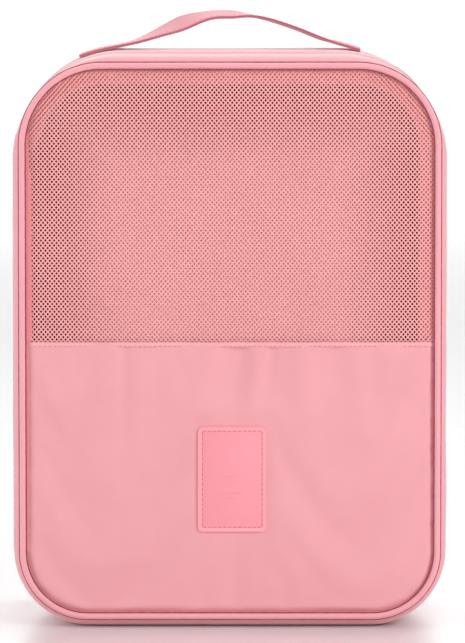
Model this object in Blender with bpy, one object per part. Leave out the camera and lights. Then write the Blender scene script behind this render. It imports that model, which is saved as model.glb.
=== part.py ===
"""Travel shoe bag: a box-shaped zip bag with a mesh window in its door-like front."""
import math

import bmesh
import bpy

# Overall sizes, in metres. The face is the front or back outline over its piping.
FACE_WIDTH = 0.228
FACE_HEIGHT = 0.302
DEPTH = 0.1196
TOP_RADIUS = 0.045
BOTTOM_RADIUS = 0.037
CORNER_STEPS = 8

# The gussets swell past the face outline, and their corners open as they swell.
CROWN = 0.0045
TOP_SWELL = 2.9
BOTTOM_SWELL = 1.1
CROWN_SHOULDER = 0.0115
CROWN_START = 0.0003

# Layers of cloth and foam, and the clearance kept between any two of them.
GAP = 0.0003
PIPING_RADIUS = 0.0018
PIPING_SIDES = 8
SHELL_CLOTH = 0.001
LINING_CLOTH = 0.0006
GUSSET_WALL = 0.0046
BACK_FOAM = 0.0026
BINDING_WIDTH = 0.007
BINDING_THICKNESS = 0.001

# The zip runs round the bag in a valley between the two gussets.
ZIP_FROM_FRONT = 0.0398
VALLEY_WIDTH = 0.012
VALLEY_WALL = 0.004
VALLEY_SHOULDER = 0.006
VALLEY_RIM = 0.0026
VALLEY_SINK = 0.0015
TAPE_THICKNESS = 0.0006
COIL_WIDTH = 0.0014
COIL_HEIGHT = 0.0012

# The cloth hinge on the left side.
HINGE_REACH = 0.012
HINGE_THICKNESS = 0.001
HINGE_END_GAP = 0.006
HINGE_AXIS_GAP = 0.0002

# The front: window, lower panel, label and slip pocket.
WINDOW_HEIGHT = 0.151
HEM_HEIGHT = 0.003
HEM_THICKNESS = 0.0006
LABEL_WIDTH = 0.037
LABEL_HEIGHT = 0.057
LABEL_THICKNESS = 0.0011
LABEL_RADIUS = 0.0028
LABEL_CENTRE_HEIGHT = 0.0767
POCKET_DEPTH = 0.009
POCKET_TOP_DROP = 0.018
POCKET_HEM = 0.010

# The carry handle on top.
HANDLE_LEFT = 0.079
HANDLE_RIGHT = 0.070
HANDLE_PEAK = 0.005
HANDLE_RISE = 0.0161
HANDLE_FROM_BACK = 0.0403
STRAP_WIDTH = 0.025
STRAP_LAYER = 0.0011
STRAP_STEPS = 10
PATCH_LENGTH = 0.022
PATCH_MARGIN = 0.002
PATCH_THICKNESS = 0.0008
HANDLE_PIVOT_RISE = 0.004

# Zip sliders and their pulls.
SLIDER_LENGTH = 0.010
SLIDER_WIDTH = 0.008
SLIDER_SPACING = 0.012
SLIDER_ROOF = 0.0009
BAIL_LENGTH = 0.006
BAIL_BAR = 0.0009
BAIL_WIDTH = 0.0014
BAIL_OPENING = 0.0014
LINK_LENGTH = 0.0079
LINK_WIDTH = 0.0048
LINK_BAR = 0.0008
TAB_LENGTH = 0.020
TAB_WIDTH = 0.006
TAB_THICKNESS = 0.0012

# Values that follow from the sizes above.
FRONT = -DEPTH / 2
BACK = DEPTH / 2
FACE_BOTTOM = CROWN
FACE_TOP = CROWN + FACE_HEIGHT
TOP_CREST = FACE_TOP + CROWN
ZIP_Y = FRONT + ZIP_FROM_FRONT
GUSSET_FRONT = FRONT + 2 * PIPING_RADIUS + GAP
GUSSET_BACK = BACK - 2 * PIPING_RADIUS - GAP
PANEL_INSET = 2 * PIPING_RADIUS + GAP
INNER_INSET = GUSSET_WALL + GAP
PANEL_FRONT = FRONT + LABEL_THICKNESS + GAP
PANEL_BACK = BACK - LABEL_THICKNESS - GAP
SPLIT_Z = FACE_TOP - WINDOW_HEIGHT
TAPE_TOP = -VALLEY_SINK
COIL_BASE = TAPE_TOP + GAP
COIL_TOP = COIL_BASE + COIL_HEIGHT
ROOF_BASE = COIL_TOP + GAP
ROOF_TOP = ROOF_BASE + SLIDER_ROOF
PULL_AXIS = ROOF_TOP + BAIL_OPENING / 2
HINGE_X = -(FACE_WIDTH / 2 + CROWN + HINGE_AXIS_GAP)
HANDLE_Y = BACK - HANDLE_FROM_BACK
STRAP_BASE = PATCH_THICKNESS + 2 * GAP
STRAP_THICKNESS = 2 * STRAP_LAYER + GAP

COLOURS = {
    "nylon": ((0.83, 0.37, 0.41), 0.55, 0.0),
    "mesh": ((0.78, 0.30, 0.33), 0.70, 0.0),
    "piping": ((0.86, 0.42, 0.46), 0.55, 0.0),
    "leatherette": ((0.92, 0.36, 0.43), 0.45, 0.0),
    "lining": ((0.78, 0.40, 0.44), 0.75, 0.0),
    "foam": ((0.85, 0.80, 0.76), 0.90, 0.0),
    "webbing": ((0.80, 0.36, 0.41), 0.60, 0.0),
    "zip_tape": ((0.80, 0.34, 0.38), 0.70, 0.0),
    "coil": ((0.82, 0.38, 0.42), 0.40, 0.0),
    "metal": ((0.80, 0.45, 0.48), 0.35, 0.6),
}


def clear_scene():
    for item in list(bpy.data.objects):
        bpy.data.objects.remove(item, do_unlink=True)


def material(name):
    found = bpy.data.materials.get(name)
    if found:
        return found
    colour, roughness, metallic = COLOURS[name]
    made = bpy.data.materials.new(name)
    made.use_nodes = True
    shader = made.node_tree.nodes["Principled BSDF"]
    shader.inputs["Base Color"].default_value = (*colour, 1.0)
    shader.inputs["Roughness"].default_value = roughness
    shader.inputs["Metallic"].default_value = metallic
    return made


def pivot(name, place=(0.0, 0.0, 0.0), parent=None):
    empty = bpy.data.objects.new(name, None)
    bpy.context.collection.objects.link(empty)
    empty.parent = parent
    offset = world_place(parent) if parent else (0.0, 0.0, 0.0)
    empty.location = [value - start for value, start in zip(place, offset)]
    return empty


def world_place(item):
    place = [0.0, 0.0, 0.0]
    while item:
        place = [value + part for value, part in zip(place, item.location)]
        item = item.parent
    return place


def sweep(name, body, slot, stations, closed=False):
    """A solid through equal polygons given in world coordinates, capped unless closed."""
    start = world_place(body)
    mesh = bpy.data.meshes.new(name)
    shape = bmesh.new()
    loops = []
    for station in stations:
        points = [[value - shift for value, shift in zip(point, start)] for point in station]
        loops.append([shape.verts.new(point) for point in points])
    pairs = list(zip(loops, loops[1:]))
    if closed:
        pairs.append((loops[-1], loops[0]))
    for first, second in pairs:
        for k in range(len(first)):
            n = (k + 1) % len(first)
            shape.faces.new((first[k], first[n], second[n], second[k]))
    if not closed:
        shape.faces.new(loops[0])
        shape.faces.new(loops[-1])
    bmesh.ops.recalc_face_normals(shape, faces=shape.faces)
    shape.to_mesh(mesh)
    shape.free()
    mesh.shade_smooth()
    mesh.set_sharp_from_angle(angle=math.radians(35))
    mesh.materials.append(material(slot))
    item = bpy.data.objects.new(name, mesh)
    item.parent = body
    bpy.context.collection.objects.link(item)
    return item


def corner_radii(crown, inset):
    top_swell = TOP_SWELL if crown > 0 else 1.0
    bottom_swell = BOTTOM_SWELL if crown > 0 else 1.0
    top = TOP_RADIUS + top_swell * crown - inset
    bottom = BOTTOM_RADIUS + bottom_swell * crown - inset
    return top, bottom


def outline(crown=0.0, inset=0.0):
    """The bag's rounded outline as (x, z), from the left side down, right, up and back."""
    top, bottom = corner_radii(crown, inset)
    half = FACE_WIDTH / 2 + crown - inset
    low = FACE_BOTTOM - crown + inset
    high = FACE_TOP + crown - inset
    corners = [(-half + bottom, low + bottom, bottom, 180), (half - bottom, low + bottom, bottom, 270),
               (half - top, high - top, top, 0), (-half + top, high - top, top, 90)]
    points = []
    for x, z, radius, start in corners:
        for step in range(CORNER_STEPS + 1):
            angle = math.radians(start + 90 * step / CORNER_STEPS)
            points.append((x + radius * math.cos(angle), z + radius * math.sin(angle)))
    return points


def around(section):
    """Stations round the outline for a wall section given as (y, crown, inset)."""
    rings = [[(x, y, z) for x, z in outline(crown, inset)] for y, crown, inset in section]
    return [list(station) for station in zip(*rings)]


def band(name, body, slot, section, closed=True):
    return sweep(name, body, slot, around(section), closed)


def plate(name, body, slot, points, near, far):
    return sweep(name, body, slot, [[(x, near, z) for x, z in points], [(x, far, z) for x, z in points]])


def slab(points, low, high):
    """The stretch of an outline between two heights, cut straight across."""
    for limit, way in [(low, 1), (high, -1)]:
        cut = []
        for first, second in zip(points, points[1:] + points[:1]):
            inside = (first[1] - limit) * way >= 0
            if inside:
                cut.append(first)
            if inside != ((second[1] - limit) * way >= 0):
                share = (limit - first[1]) / (second[1] - first[1])
                cut.append((first[0] + share * (second[0] - first[0]), limit))
        points = cut
    return points


def window_points(inset):
    points = outline(0.0, inset)
    half = FACE_WIDTH / 2 - inset
    return [(-half, SPLIT_Z), (half, SPLIT_Z)] + points[len(points) // 2:]


def lower_points(inset):
    points = outline(0.0, inset)
    half = FACE_WIDTH / 2 - inset
    return points[:len(points) // 2] + [(half, SPLIT_Z - GAP), (-half, SPLIT_Z - GAP)]


def rounded_box(centre_x, centre_z, width, height, radius):
    points = []
    places = [(-1, -1, 180), (1, -1, 270), (1, 1, 0), (-1, 1, 90)]
    for side_x, side_z, start in places:
        x = centre_x + side_x * (width / 2 - radius)
        z = centre_z + side_z * (height / 2 - radius)
        for step in range(4):
            angle = math.radians(start + 30 * step)
            points.append((x + radius * math.cos(angle), z + radius * math.sin(angle)))
    return points


def gusset_section(seam, zip_side):
    """Outer line of a gusset as (y, crown): low at its seam, full in the middle, low at the zip."""
    way = 1 if zip_side > seam else -1
    line = [(seam, CROWN_START), (seam + way * CROWN_SHOULDER / 2, CROWN * 0.75),
            (seam + way * CROWN_SHOULDER, CROWN), (zip_side - way * (VALLEY_WALL + VALLEY_SHOULDER), CROWN),
            (zip_side - way * VALLEY_WALL, VALLEY_RIM), (zip_side, -VALLEY_SINK)]
    return line


def gusset(prefix, body, ends):
    """Shell cloth, foam and lining of one gusset, nested with clearance."""
    seam, zip_side = ends
    line = gusset_section(seam, zip_side)
    way = 1 if zip_side > seam else -1
    outer = [(y, crown, 0.0) for y, crown in line]
    inner = [(y, crown, SHELL_CLOTH) for y, crown in reversed(line)]
    band(prefix + "_gusset", body, "nylon", outer + inner)
    skin = SHELL_CLOTH + GAP
    foam_inset = GUSSET_WALL - LINING_CLOTH - GAP
    foam = [(y, crown, skin) for y, crown in line]
    foam += [(zip_side, 0.0, foam_inset), (seam, 0.0, foam_inset)]
    band(prefix + "_gusset_foam", body, "foam", foam)
    lining_seam = seam + way * GAP
    lining = [(lining_seam, 0.0, GUSSET_WALL - LINING_CLOTH), (zip_side, 0.0, GUSSET_WALL - LINING_CLOTH),
              (zip_side, 0.0, GUSSET_WALL), (lining_seam, 0.0, GUSSET_WALL)]
    band(prefix + "_gusset_lining", body, "lining", lining)


def piping(name, body, centre_y):
    section = []
    for side in range(PIPING_SIDES):
        angle = 2 * math.pi * (side + 0.5) / PIPING_SIDES
        reach = PIPING_RADIUS / math.cos(math.pi / PIPING_SIDES)
        section.append((centre_y + reach * math.cos(angle), 0.0, PIPING_RADIUS + reach * math.sin(angle)))
    band(name, body, "piping", section)


def binding(name, body, near):
    inset = INNER_INSET
    far = near + BINDING_THICKNESS
    section = [(near, 0.0, inset), (far, 0.0, inset),
               (far, 0.0, inset + BINDING_WIDTH), (near, 0.0, inset + BINDING_WIDTH)]
    band(name, body, "webbing", section)


def zip_half(prefix, body, way):
    """Tape and coil of one side: the tape dips under its gusset, and the coil sits on its edge."""
    start = ZIP_Y + way * GAP / 2
    # The tape stops short of the gusset edge, so the two meet edge to edge.
    edge = ZIP_Y + way * (VALLEY_WIDTH / 2 - GAP)
    sink = VALLEY_SINK
    tape = [(start, -sink, 0.0), (edge, -sink, 0.0), (edge, -sink, TAPE_THICKNESS), (start, -sink, TAPE_THICKNESS)]
    band(prefix + "_zip_tape", body, "zip_tape", tape, closed=False)
    coil_edge = start + way * COIL_WIDTH
    coil = [(start, COIL_BASE, 0.0), (coil_edge, COIL_BASE, 0.0),
            (coil_edge, COIL_TOP, 0.0), (start, COIL_TOP, 0.0)]
    band(prefix + "_zip_coil", body, "coil", coil, closed=False)


def hinge_leaf(name, body, way):
    """One half of the cloth hinge, flush with the swollen left side."""
    top, bottom = corner_radii(CROWN, 0.0)
    low = bottom + HINGE_END_GAP
    high = TOP_CREST - top - HINGE_END_GAP
    outer = -(FACE_WIDTH / 2 + CROWN)
    inner = outer + HINGE_THICKNESS
    near = ZIP_Y + way * GAP / 2
    far = ZIP_Y + way * HINGE_REACH
    base = [(outer, near, low), (inner, near, low), (inner, far, low), (outer, far, low)]
    sweep(name, body, "webbing", [base, [(x, y, high) for x, y, _ in base]])


def crest_height(x):
    """Height of the bag's top line at a distance x from the middle."""
    radius = corner_radii(CROWN, 0.0)[0]
    over = max(0.0, abs(x) - (FACE_WIDTH / 2 + CROWN - radius))
    return TOP_CREST - radius + math.sqrt(radius * radius - over * over)


def handle_rise(x):
    end = HANDLE_RIGHT - HANDLE_PEAK if x > HANDLE_PEAK else -HANDLE_LEFT - HANDLE_PEAK
    return HANDLE_RISE * math.cos(math.pi / 2 * (x - HANDLE_PEAK) / end) ** 2


def strap(name, body, slot, reach, base, thickness, rise=handle_rise, width=STRAP_WIDTH):
    """A strip along X that follows the bag's top line plus the given rise."""
    start, end = reach
    stations = []
    for step in range(STRAP_STEPS + 1):
        x = start + (end - start) * step / STRAP_STEPS
        low = crest_height(x) + base + rise(x)
        near = HANDLE_Y - width / 2
        far = HANDLE_Y + width / 2
        stations.append([(x, near, low), (x, far, low), (x, far, low + thickness), (x, near, low + thickness)])
    sweep(name, body, slot, stations)


def handle(bag, tilt):
    """Patches and sewn ends on the bag, and the free middle that tilts."""
    left_cut = HANDLE_PEAK - (HANDLE_LEFT + HANDLE_PEAK) / 2
    right_cut = HANDLE_PEAK + (HANDLE_RIGHT - HANDLE_PEAK) / 2
    sides = [("left", -HANDLE_LEFT, left_cut - GAP), ("right", right_cut + GAP, HANDLE_RIGHT)]
    for side, start, end in sides:
        strap("handle_end_" + side, bag, "webbing", (start, end), STRAP_BASE, STRAP_THICKNESS)
    patch_width = STRAP_WIDTH + 2 * PATCH_MARGIN
    patches = [("left", -HANDLE_LEFT - PATCH_MARGIN, 1), ("right", HANDLE_RIGHT + PATCH_MARGIN, -1)]
    for side, start, way in patches:
        strap("handle_patch_" + side, bag, "nylon", (start, start + way * PATCH_LENGTH), GAP,
              PATCH_THICKNESS, rise=lambda x: 0.0, width=patch_width)
    reach = (left_cut, right_cut)
    strap("handle_backing", tilt, "webbing", reach, STRAP_BASE, STRAP_LAYER)
    strap("handle_strap", tilt, "webbing", reach, STRAP_BASE + STRAP_LAYER + GAP, STRAP_LAYER)


def slider(side, way, guide):
    """A slider that grips the body's coil; its front edge stays open so that the lid can leave."""
    base = FACE_TOP
    middle = way * SLIDER_SPACING / 2
    back = ZIP_Y + SLIDER_WIDTH / 2
    inner = ZIP_Y + GAP / 2 + COIL_WIDTH + GAP
    front = ZIP_Y - SLIDER_WIDTH / 2
    section = [(front, ROOF_BASE), (inner, ROOF_BASE), (inner, COIL_BASE), (back, COIL_BASE),
               (back, ROOF_TOP), (front, ROOF_TOP)]
    ends = [middle - SLIDER_LENGTH / 2, middle + SLIDER_LENGTH / 2]
    body = sweep("slider_" + side, guide, "metal", [[(x, y, base + z) for y, z in section] for x in ends])
    # The bail is a bridge on the roof; its feet go into the roof and are joined to it.
    half = BAIL_LENGTH / 2
    foot = ROOF_TOP - SLIDER_ROOF / 2
    roof = ROOF_TOP + BAIL_OPENING
    arch = [(-half, foot), (-half + BAIL_BAR, foot), (-half + BAIL_BAR, roof), (half - BAIL_BAR, roof),
            (half - BAIL_BAR, foot), (half, foot), (half, roof + BAIL_BAR), (-half, roof + BAIL_BAR)]
    walls = [ZIP_Y - BAIL_WIDTH / 2, ZIP_Y + BAIL_WIDTH / 2]
    bail = sweep("bail_" + side, guide, "metal", [[(middle + x, y, base + z) for x, z in arch] for y in walls])
    bail.hide_render = True
    bail.display_type = "WIRE"
    join = body.modifiers.new("bail", "BOOLEAN")
    join.operation = "UNION"
    join.object = bail


def pull(side, way, swing):
    """A wire link through the bail, and the tab that it carries, lying outwards in the valley."""
    middle = way * SLIDER_SPACING / 2
    height = FACE_TOP + PULL_AXIS
    low = height - LINK_BAR / 2
    high = height + LINK_BAR / 2
    bar = (LINK_WIDTH - BAIL_WIDTH - 2 * GAP) / 2
    stations = []
    for along, across in [(0, -1), (1, -1), (1, 1), (0, 1)]:
        outer_x = middle + way * (LINK_LENGTH * along - LINK_BAR / 2)
        inner_x = outer_x + way * (LINK_BAR if along == 0 else -LINK_BAR)
        outer_y = ZIP_Y + across * LINK_WIDTH / 2
        inner_y = outer_y - across * bar
        stations.append([(outer_x, outer_y, low), (outer_x, outer_y, high),
                         (inner_x, inner_y, high), (inner_x, inner_y, low)])
    sweep("pull_link_" + side, swing, "metal", stations, closed=True)
    tab_start = LINK_LENGTH - LINK_BAR / 2 + GAP
    tab = rounded_box(tab_start + TAB_LENGTH / 2, ZIP_Y, TAB_LENGTH, TAB_WIDTH, TAB_WIDTH * 0.3)
    heights = [height - TAB_THICKNESS / 2, height + TAB_THICKNESS / 2]
    sweep("pull_tab_" + side, swing, "leatherette",
          [[(middle + way * x, y, z) for x, y in tab] for z in heights])


def front_face(lid):
    """Window, lower panel and its lining, hem, label, and the slip pocket behind them."""
    panel_back = PANEL_FRONT + SHELL_CLOTH
    plate("mesh_window", lid, "mesh", window_points(PANEL_INSET), PANEL_FRONT, panel_back)
    plate("lower_panel", lid, "nylon", lower_points(PANEL_INSET), PANEL_FRONT, panel_back)
    lining = panel_back + GAP
    plate("lower_panel_lining", lid, "lining", lower_points(INNER_INSET), lining, lining + LINING_CLOTH)
    half = FACE_WIDTH / 2 - PANEL_INSET
    hem_front = PANEL_FRONT - GAP - HEM_THICKNESS
    hem = [(-half, SPLIT_Z - HEM_HEIGHT), (half, SPLIT_Z - HEM_HEIGHT), (half, SPLIT_Z), (-half, SPLIT_Z)]
    plate("window_hem", lid, "nylon", hem, hem_front, PANEL_FRONT - GAP)
    label = rounded_box(0.0, FACE_BOTTOM + LABEL_CENTRE_HEIGHT, LABEL_WIDTH, LABEL_HEIGHT, LABEL_RADIUS)
    plate("label_patch", lid, "leatherette", label, FRONT, FRONT + LABEL_THICKNESS)
    pocket = GUSSET_FRONT + BINDING_THICKNESS + POCKET_DEPTH
    points = outline(0.0, INNER_INSET)
    hem_top = FACE_TOP - POCKET_TOP_DROP
    hem_low = hem_top - POCKET_HEM
    plate("lid_pocket_panel", lid, "lining", slab(points, FACE_BOTTOM, hem_low - GAP), pocket, pocket + LINING_CLOTH)
    plate("pocket_elastic", lid, "webbing", slab(points, hem_low, hem_top), pocket, pocket + 2 * SHELL_CLOTH)


def back_face(bag):
    """Back panel, its foam and its lining."""
    face = PANEL_BACK - SHELL_CLOTH
    plate("back_panel", bag, "nylon", outline(0.0, PANEL_INSET), face, PANEL_BACK)
    foam = face - GAP - BACK_FOAM
    plate("back_foam", bag, "foam", outline(0.0, INNER_INSET), foam, face - GAP)
    lining = foam - GAP - LINING_CLOTH
    plate("back_lining", bag, "lining", outline(0.0, INNER_INSET), lining, lining + LINING_CLOTH)
    binding("back_seam_binding", bag, lining - GAP - BINDING_THICKNESS)


def build():
    clear_scene()
    bag = pivot("bag")
    lid = pivot("lid", (HINGE_X, ZIP_Y, 0.0), bag)
    tilt = pivot("handle", (0.0, HANDLE_Y, TOP_CREST + HANDLE_PIVOT_RISE), bag)

    gusset("body", bag, (GUSSET_BACK, ZIP_Y + VALLEY_WIDTH / 2))
    piping("back_piping", bag, BACK - PIPING_RADIUS)
    back_face(bag)
    zip_half("body", bag, 1)
    hinge_leaf("hinge_leaf_body", bag, 1)
    handle(bag, tilt)

    gusset("lid", lid, (GUSSET_FRONT, ZIP_Y - VALLEY_WIDTH / 2))
    piping("lid_piping", lid, FRONT + PIPING_RADIUS)
    front_face(lid)
    binding("lid_seam_binding", lid, GUSSET_FRONT - GAP)
    zip_half("lid", lid, -1)
    hinge_leaf("hinge_leaf_lid", lid, -1)

    for side, way in [("left", -1), ("right", 1)]:
        middle = way * SLIDER_SPACING / 2
        guide = pivot("guide_" + side, (middle, ZIP_Y, FACE_TOP), bag)
        swing = pivot("swing_" + side, (middle, ZIP_Y, FACE_TOP + PULL_AXIS), guide)
        slider(side, way, guide)
        pull(side, way, swing)


build()
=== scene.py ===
import math

import bmesh
import bpy
from mathutils import Matrix, Vector, kdtree, noise


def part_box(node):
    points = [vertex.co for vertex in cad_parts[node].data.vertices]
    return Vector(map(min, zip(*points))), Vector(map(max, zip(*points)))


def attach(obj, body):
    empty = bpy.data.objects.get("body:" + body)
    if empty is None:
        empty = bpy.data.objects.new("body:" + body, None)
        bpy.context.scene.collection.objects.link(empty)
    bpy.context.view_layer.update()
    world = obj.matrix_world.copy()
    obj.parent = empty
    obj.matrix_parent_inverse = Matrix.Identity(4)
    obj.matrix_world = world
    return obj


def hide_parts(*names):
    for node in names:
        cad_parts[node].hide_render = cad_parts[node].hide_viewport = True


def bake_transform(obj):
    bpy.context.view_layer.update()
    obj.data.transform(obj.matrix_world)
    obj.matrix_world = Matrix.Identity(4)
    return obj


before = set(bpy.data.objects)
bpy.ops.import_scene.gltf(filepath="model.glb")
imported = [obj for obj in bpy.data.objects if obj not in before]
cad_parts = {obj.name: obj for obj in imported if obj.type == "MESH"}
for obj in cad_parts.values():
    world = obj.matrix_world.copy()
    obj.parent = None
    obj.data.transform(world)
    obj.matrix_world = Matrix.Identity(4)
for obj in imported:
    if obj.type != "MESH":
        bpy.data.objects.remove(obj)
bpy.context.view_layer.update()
mm = 0.001
print("frame loaded:", len(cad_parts), "nodes")

# the sewn outline

outlineSizes = {
    "topRadius": 45 * mm,
    "bottomRadius": 37 * mm,
    "crown": 4.5 * mm,
    "sideShare": 0.8,
    "topSwell": 2.9,
    "bottomSwell": 1.1,
}


def boxOf(node):
    low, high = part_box(node)
    return Vector(low), Vector(high)


faceLow, faceHigh = boxOf("lid_piping")
pipeRadius = (faceHigh.y - faceLow.y) / 2
splitZ = boxOf("window_hem")[1].z
zipY = (boxOf("lid_zip_coil")[1].y + boxOf("body_zip_coil")[0].y) / 2
halfWidth = (faceHigh.x - faceLow.x) / 2


def outlineParts(crown, inset):
    # corner radii, half width, low and high edge of the outline at a swell and an inset
    s = outlineSizes
    top = s["topRadius"] + (s["topSwell"] if crown > 0 else 1) * crown - inset
    bottom = s["bottomRadius"] + (s["bottomSwell"] if crown > 0 else 1) * crown - inset
    aside = crown * (s["sideShare"] if crown > 0 else 1)
    return top, bottom, halfWidth + aside - inset, faceLow.z - crown + inset, faceHigh.z + crown - inset


def outlineSpans():
    # shares of the whole way round: corner, bottom, corner, right, corner, top, corner, left
    top, bottom, half, low, high = outlineParts(0, 0)
    side = high - low - top - bottom
    spans = [bottom * math.pi / 2, 2 * (half - bottom), bottom * math.pi / 2, side,
             top * math.pi / 2, 2 * (half - top), top * math.pi / 2, side]
    total = sum(spans)
    return [span / total for span in spans], total


spanShares, roundLength = outlineSpans()
zipShare = sum(spanShares[:7])


def outlinePoint(u, crown, inset):
    # a point on the outline and the way out of the bag there, as (x, z) pairs
    top, bottom, half, low, high = outlineParts(crown, inset)
    u = u % 1.0 if u > 1 else u
    index = 0
    while index < 7 and u > spanShares[index]:
        u -= spanShares[index]
        index += 1
    t = min(1.0, u / spanShares[index])
    corners = {0: (-half + bottom, low + bottom, bottom, 180), 2: (half - bottom, low + bottom, bottom, 270),
               4: (half - top, high - top, top, 0), 6: (-half + top, high - top, top, 90)}
    if index in corners:
        x, z, radius, start = corners[index]
        angle = math.radians(start + 90 * t)
        return Vector((x + radius * math.cos(angle), z + radius * math.sin(angle))), \
            Vector((math.cos(angle), math.sin(angle)))
    if index == 1:
        return Vector((-half + bottom + 2 * (half - bottom) * t, low)), Vector((0, -1))
    if index == 3:
        return Vector((half, low + bottom + (high - low - top - bottom) * t)), Vector((1, 0))
    if index == 5:
        return Vector((half - top - 2 * (half - top) * t, high)), Vector((0, 1))
    return Vector((-half, high - top - (high - low - top - bottom) * t)), Vector((-1, 0))


def smooth(t):
    t = max(0.0, min(1.0, t))
    return t * t * (3 - 2 * t)


def thereAndBack(v):
    # 0 to 1 over the first half of a wrapped strip, and back to 0 over the second
    return 2 * v if v <= 0.5 else 2 * (1 - v)


def ripple(x, y, z, size, depth, seed=0.0):
    # soft noise, the same on each run
    return noise.noise(Vector((x / size + seed, y / size - seed, z / size + 3.1 * seed))) * depth


# mesh helpers


def keep(name, shape, finish, body, crease=40, nodes=()):
    # turns a bmesh into a finished piece with the given finish, which rides on a body if one is given and hides the
    # CAD nodes it stands for
    mesh = bpy.data.meshes.new(name)
    shape.to_mesh(mesh)
    shape.free()
    mesh.shade_smooth()
    if crease:
        mesh.set_sharp_from_angle(angle=math.radians(crease))
    piece = bpy.data.objects.new(name, mesh)
    bpy.context.collection.objects.link(piece)
    mesh.materials.append(finish)
    if body:
        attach(piece, body)
    if nodes:
        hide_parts(*nodes)
    return piece


def startGrid(columns, rows, place, uvSize):
    # a grid laid out by place(u, v), with a UV map in metres
    shape = bmesh.new()
    layer = shape.loops.layers.uv.new("UVMap")
    bmesh.ops.create_grid(shape, x_segments=columns, y_segments=rows, size=0.5)
    for face in shape.faces:
        for loop in face.loops:
            loop[layer].uv = ((loop.vert.co.x + 0.5) * uvSize[0], (loop.vert.co.y + 0.5) * uvSize[1])
    for vert in shape.verts:
        vert.co = place(vert.co.x + 0.5, vert.co.y + 0.5)
    return shape


def closeUp(shape, cap=False):
    # merges a wrapped grid's seams, caps open ends and turns faces outwards
    bmesh.ops.remove_doubles(shape, verts=shape.verts, dist=1e-6)
    if cap:
        bmesh.ops.holes_fill(shape, edges=[e for e in shape.edges if e.is_boundary], sides=0)
    bmesh.ops.recalc_face_normals(shape, faces=shape.faces)
    return shape


def clothSheet(columns, rows, place, thick, outward=-1):
    # a single cloth surface, mapped straight from the front in metres, with a wall behind it;
    # outward is the way along Y that its outside faces
    shape = startGrid(columns, rows, place, (1, 1))
    layer = shape.loops.layers.uv.active
    for face in shape.faces:
        for loop in face.loops:
            loop[layer].uv = (loop.vert.co.x, loop.vert.co.z)
    bmesh.ops.remove_doubles(shape, verts=shape.verts, dist=1e-6)
    bmesh.ops.recalc_face_normals(shape, faces=shape.faces)
    facing = sum(face.normal.y * face.calc_area() for face in shape.faces)
    if facing * outward < 0:
        bmesh.ops.reverse_faces(shape, faces=shape.faces)
    bmesh.ops.solidify(shape, geom=shape.faces[:], thickness=thick)
    bmesh.ops.recalc_face_normals(shape, faces=shape.faces)
    return shape


def softSection(turn, acrossPower, overPower):
    # a point round a soft-cornered section, from -1 to 1 both ways; low powers make it squarer
    across, over = math.cos(2 * math.pi * turn), math.sin(2 * math.pi * turn)
    return math.copysign(abs(across) ** acrossPower, across), math.copysign(abs(over) ** overPower, over)


def joined(shapes):
    # several bmeshes as one, each still its own closed body
    whole = bmesh.new()
    for shape in shapes:
        part = bpy.data.meshes.new("part")
        shape.to_mesh(part)
        shape.free()
        whole.from_mesh(part)
        bpy.data.meshes.remove(part)
    return whole


# view and light

viewSettings = {
    "distance": 3.0,
    "elevation": 4.8,
    "frameHeight": 347 * mm,
    "aimAside": 1.35 * mm,
    "aimHeight": 166.8 * mm,
    "sensor": 36.0,
}


def placeCamera():
    s = viewSettings
    aim = Vector((s["aimAside"], faceLow.y, s["aimHeight"]))
    lift = math.radians(s["elevation"])
    data = bpy.data.cameras.new("camera")
    data.sensor_width = s["sensor"]
    data.lens = s["sensor"] * s["distance"] / s["frameHeight"]
    data.clip_end = 100
    camera = bpy.data.objects.new("camera", data)
    camera.location = aim + Vector((0, -math.cos(lift), math.sin(lift))) * s["distance"]
    camera.rotation_euler = (aim - camera.location).to_track_quat("-Z", "Y").to_euler()
    bpy.context.collection.objects.link(camera)
    bpy.context.scene.camera = camera


worldLight = 0.27
lightSettings = {
    "key": {"place": (1.75, -1.5, 1.2), "aim": (0, 0, 0.15), "size": 1.2, "power": 36},
    "fill": {"place": (-2.2, -0.4, 0.9), "aim": (0, 0, 0.15), "size": 1.8, "power": 31},
    "front": {"place": (0.1, -3.3, 0.45), "aim": (0, 0, 0.15), "size": 1.6, "power": 19},
    "top": {"place": (0.3, 0.5, 2.3), "aim": (0, 0, 0.15), "size": 1.2, "power": 22},
    "backdrop": {"place": (0, 4.2, 3.4), "aim": (0, 7.6, 1.0), "size": 2.5, "power": 190},
}


def placeLights():
    world = bpy.data.worlds.new("studio")
    world.use_nodes = True
    sky = world.node_tree.nodes["Background"].inputs
    sky["Color"].default_value = (1, 1, 1, 1)
    sky["Strength"].default_value = worldLight
    bpy.context.scene.world = world
    for name, s in lightSettings.items():
        data = bpy.data.lights.new(name, "AREA")
        data.size = s["size"]
        data.energy = s["power"]
        lamp = bpy.data.objects.new(name, data)
        lamp.location = s["place"]
        lamp.rotation_euler = (Vector(s["aim"]) - lamp.location).to_track_quat("-Z", "Y").to_euler()
        bpy.context.collection.objects.link(lamp)


bpy.context.scene.view_settings.view_transform = "Standard"
placeCamera()
placeLights()
print("camera and lights placed")

# materials


def tint(red, green, blue):
    # a screen colour, 0 to 255, as the linear colour that a shader takes
    def linear(value):
        value /= 255
        return value / 12.92 if value <= 0.04045 else ((value + 0.055) / 1.055) ** 2.4
    return (linear(red), linear(green), linear(blue), 1.0)


def newGroup(name, inputs, outputs):
    # a node group, and the sockets inside it that its inputs and outputs have
    group = bpy.data.node_groups.new(name, "ShaderNodeTree")
    for label, kind, value in inputs:
        socket = group.interface.new_socket(name=label, in_out="INPUT", socket_type="NodeSocket" + kind)
        if value is not None:
            socket.default_value = value
    for label, kind in outputs:
        group.interface.new_socket(name=label, in_out="OUTPUT", socket_type="NodeSocket" + kind)
    return group, group.nodes.new("NodeGroupInput").outputs, group.nodes.new("NodeGroupOutput").inputs


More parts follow.
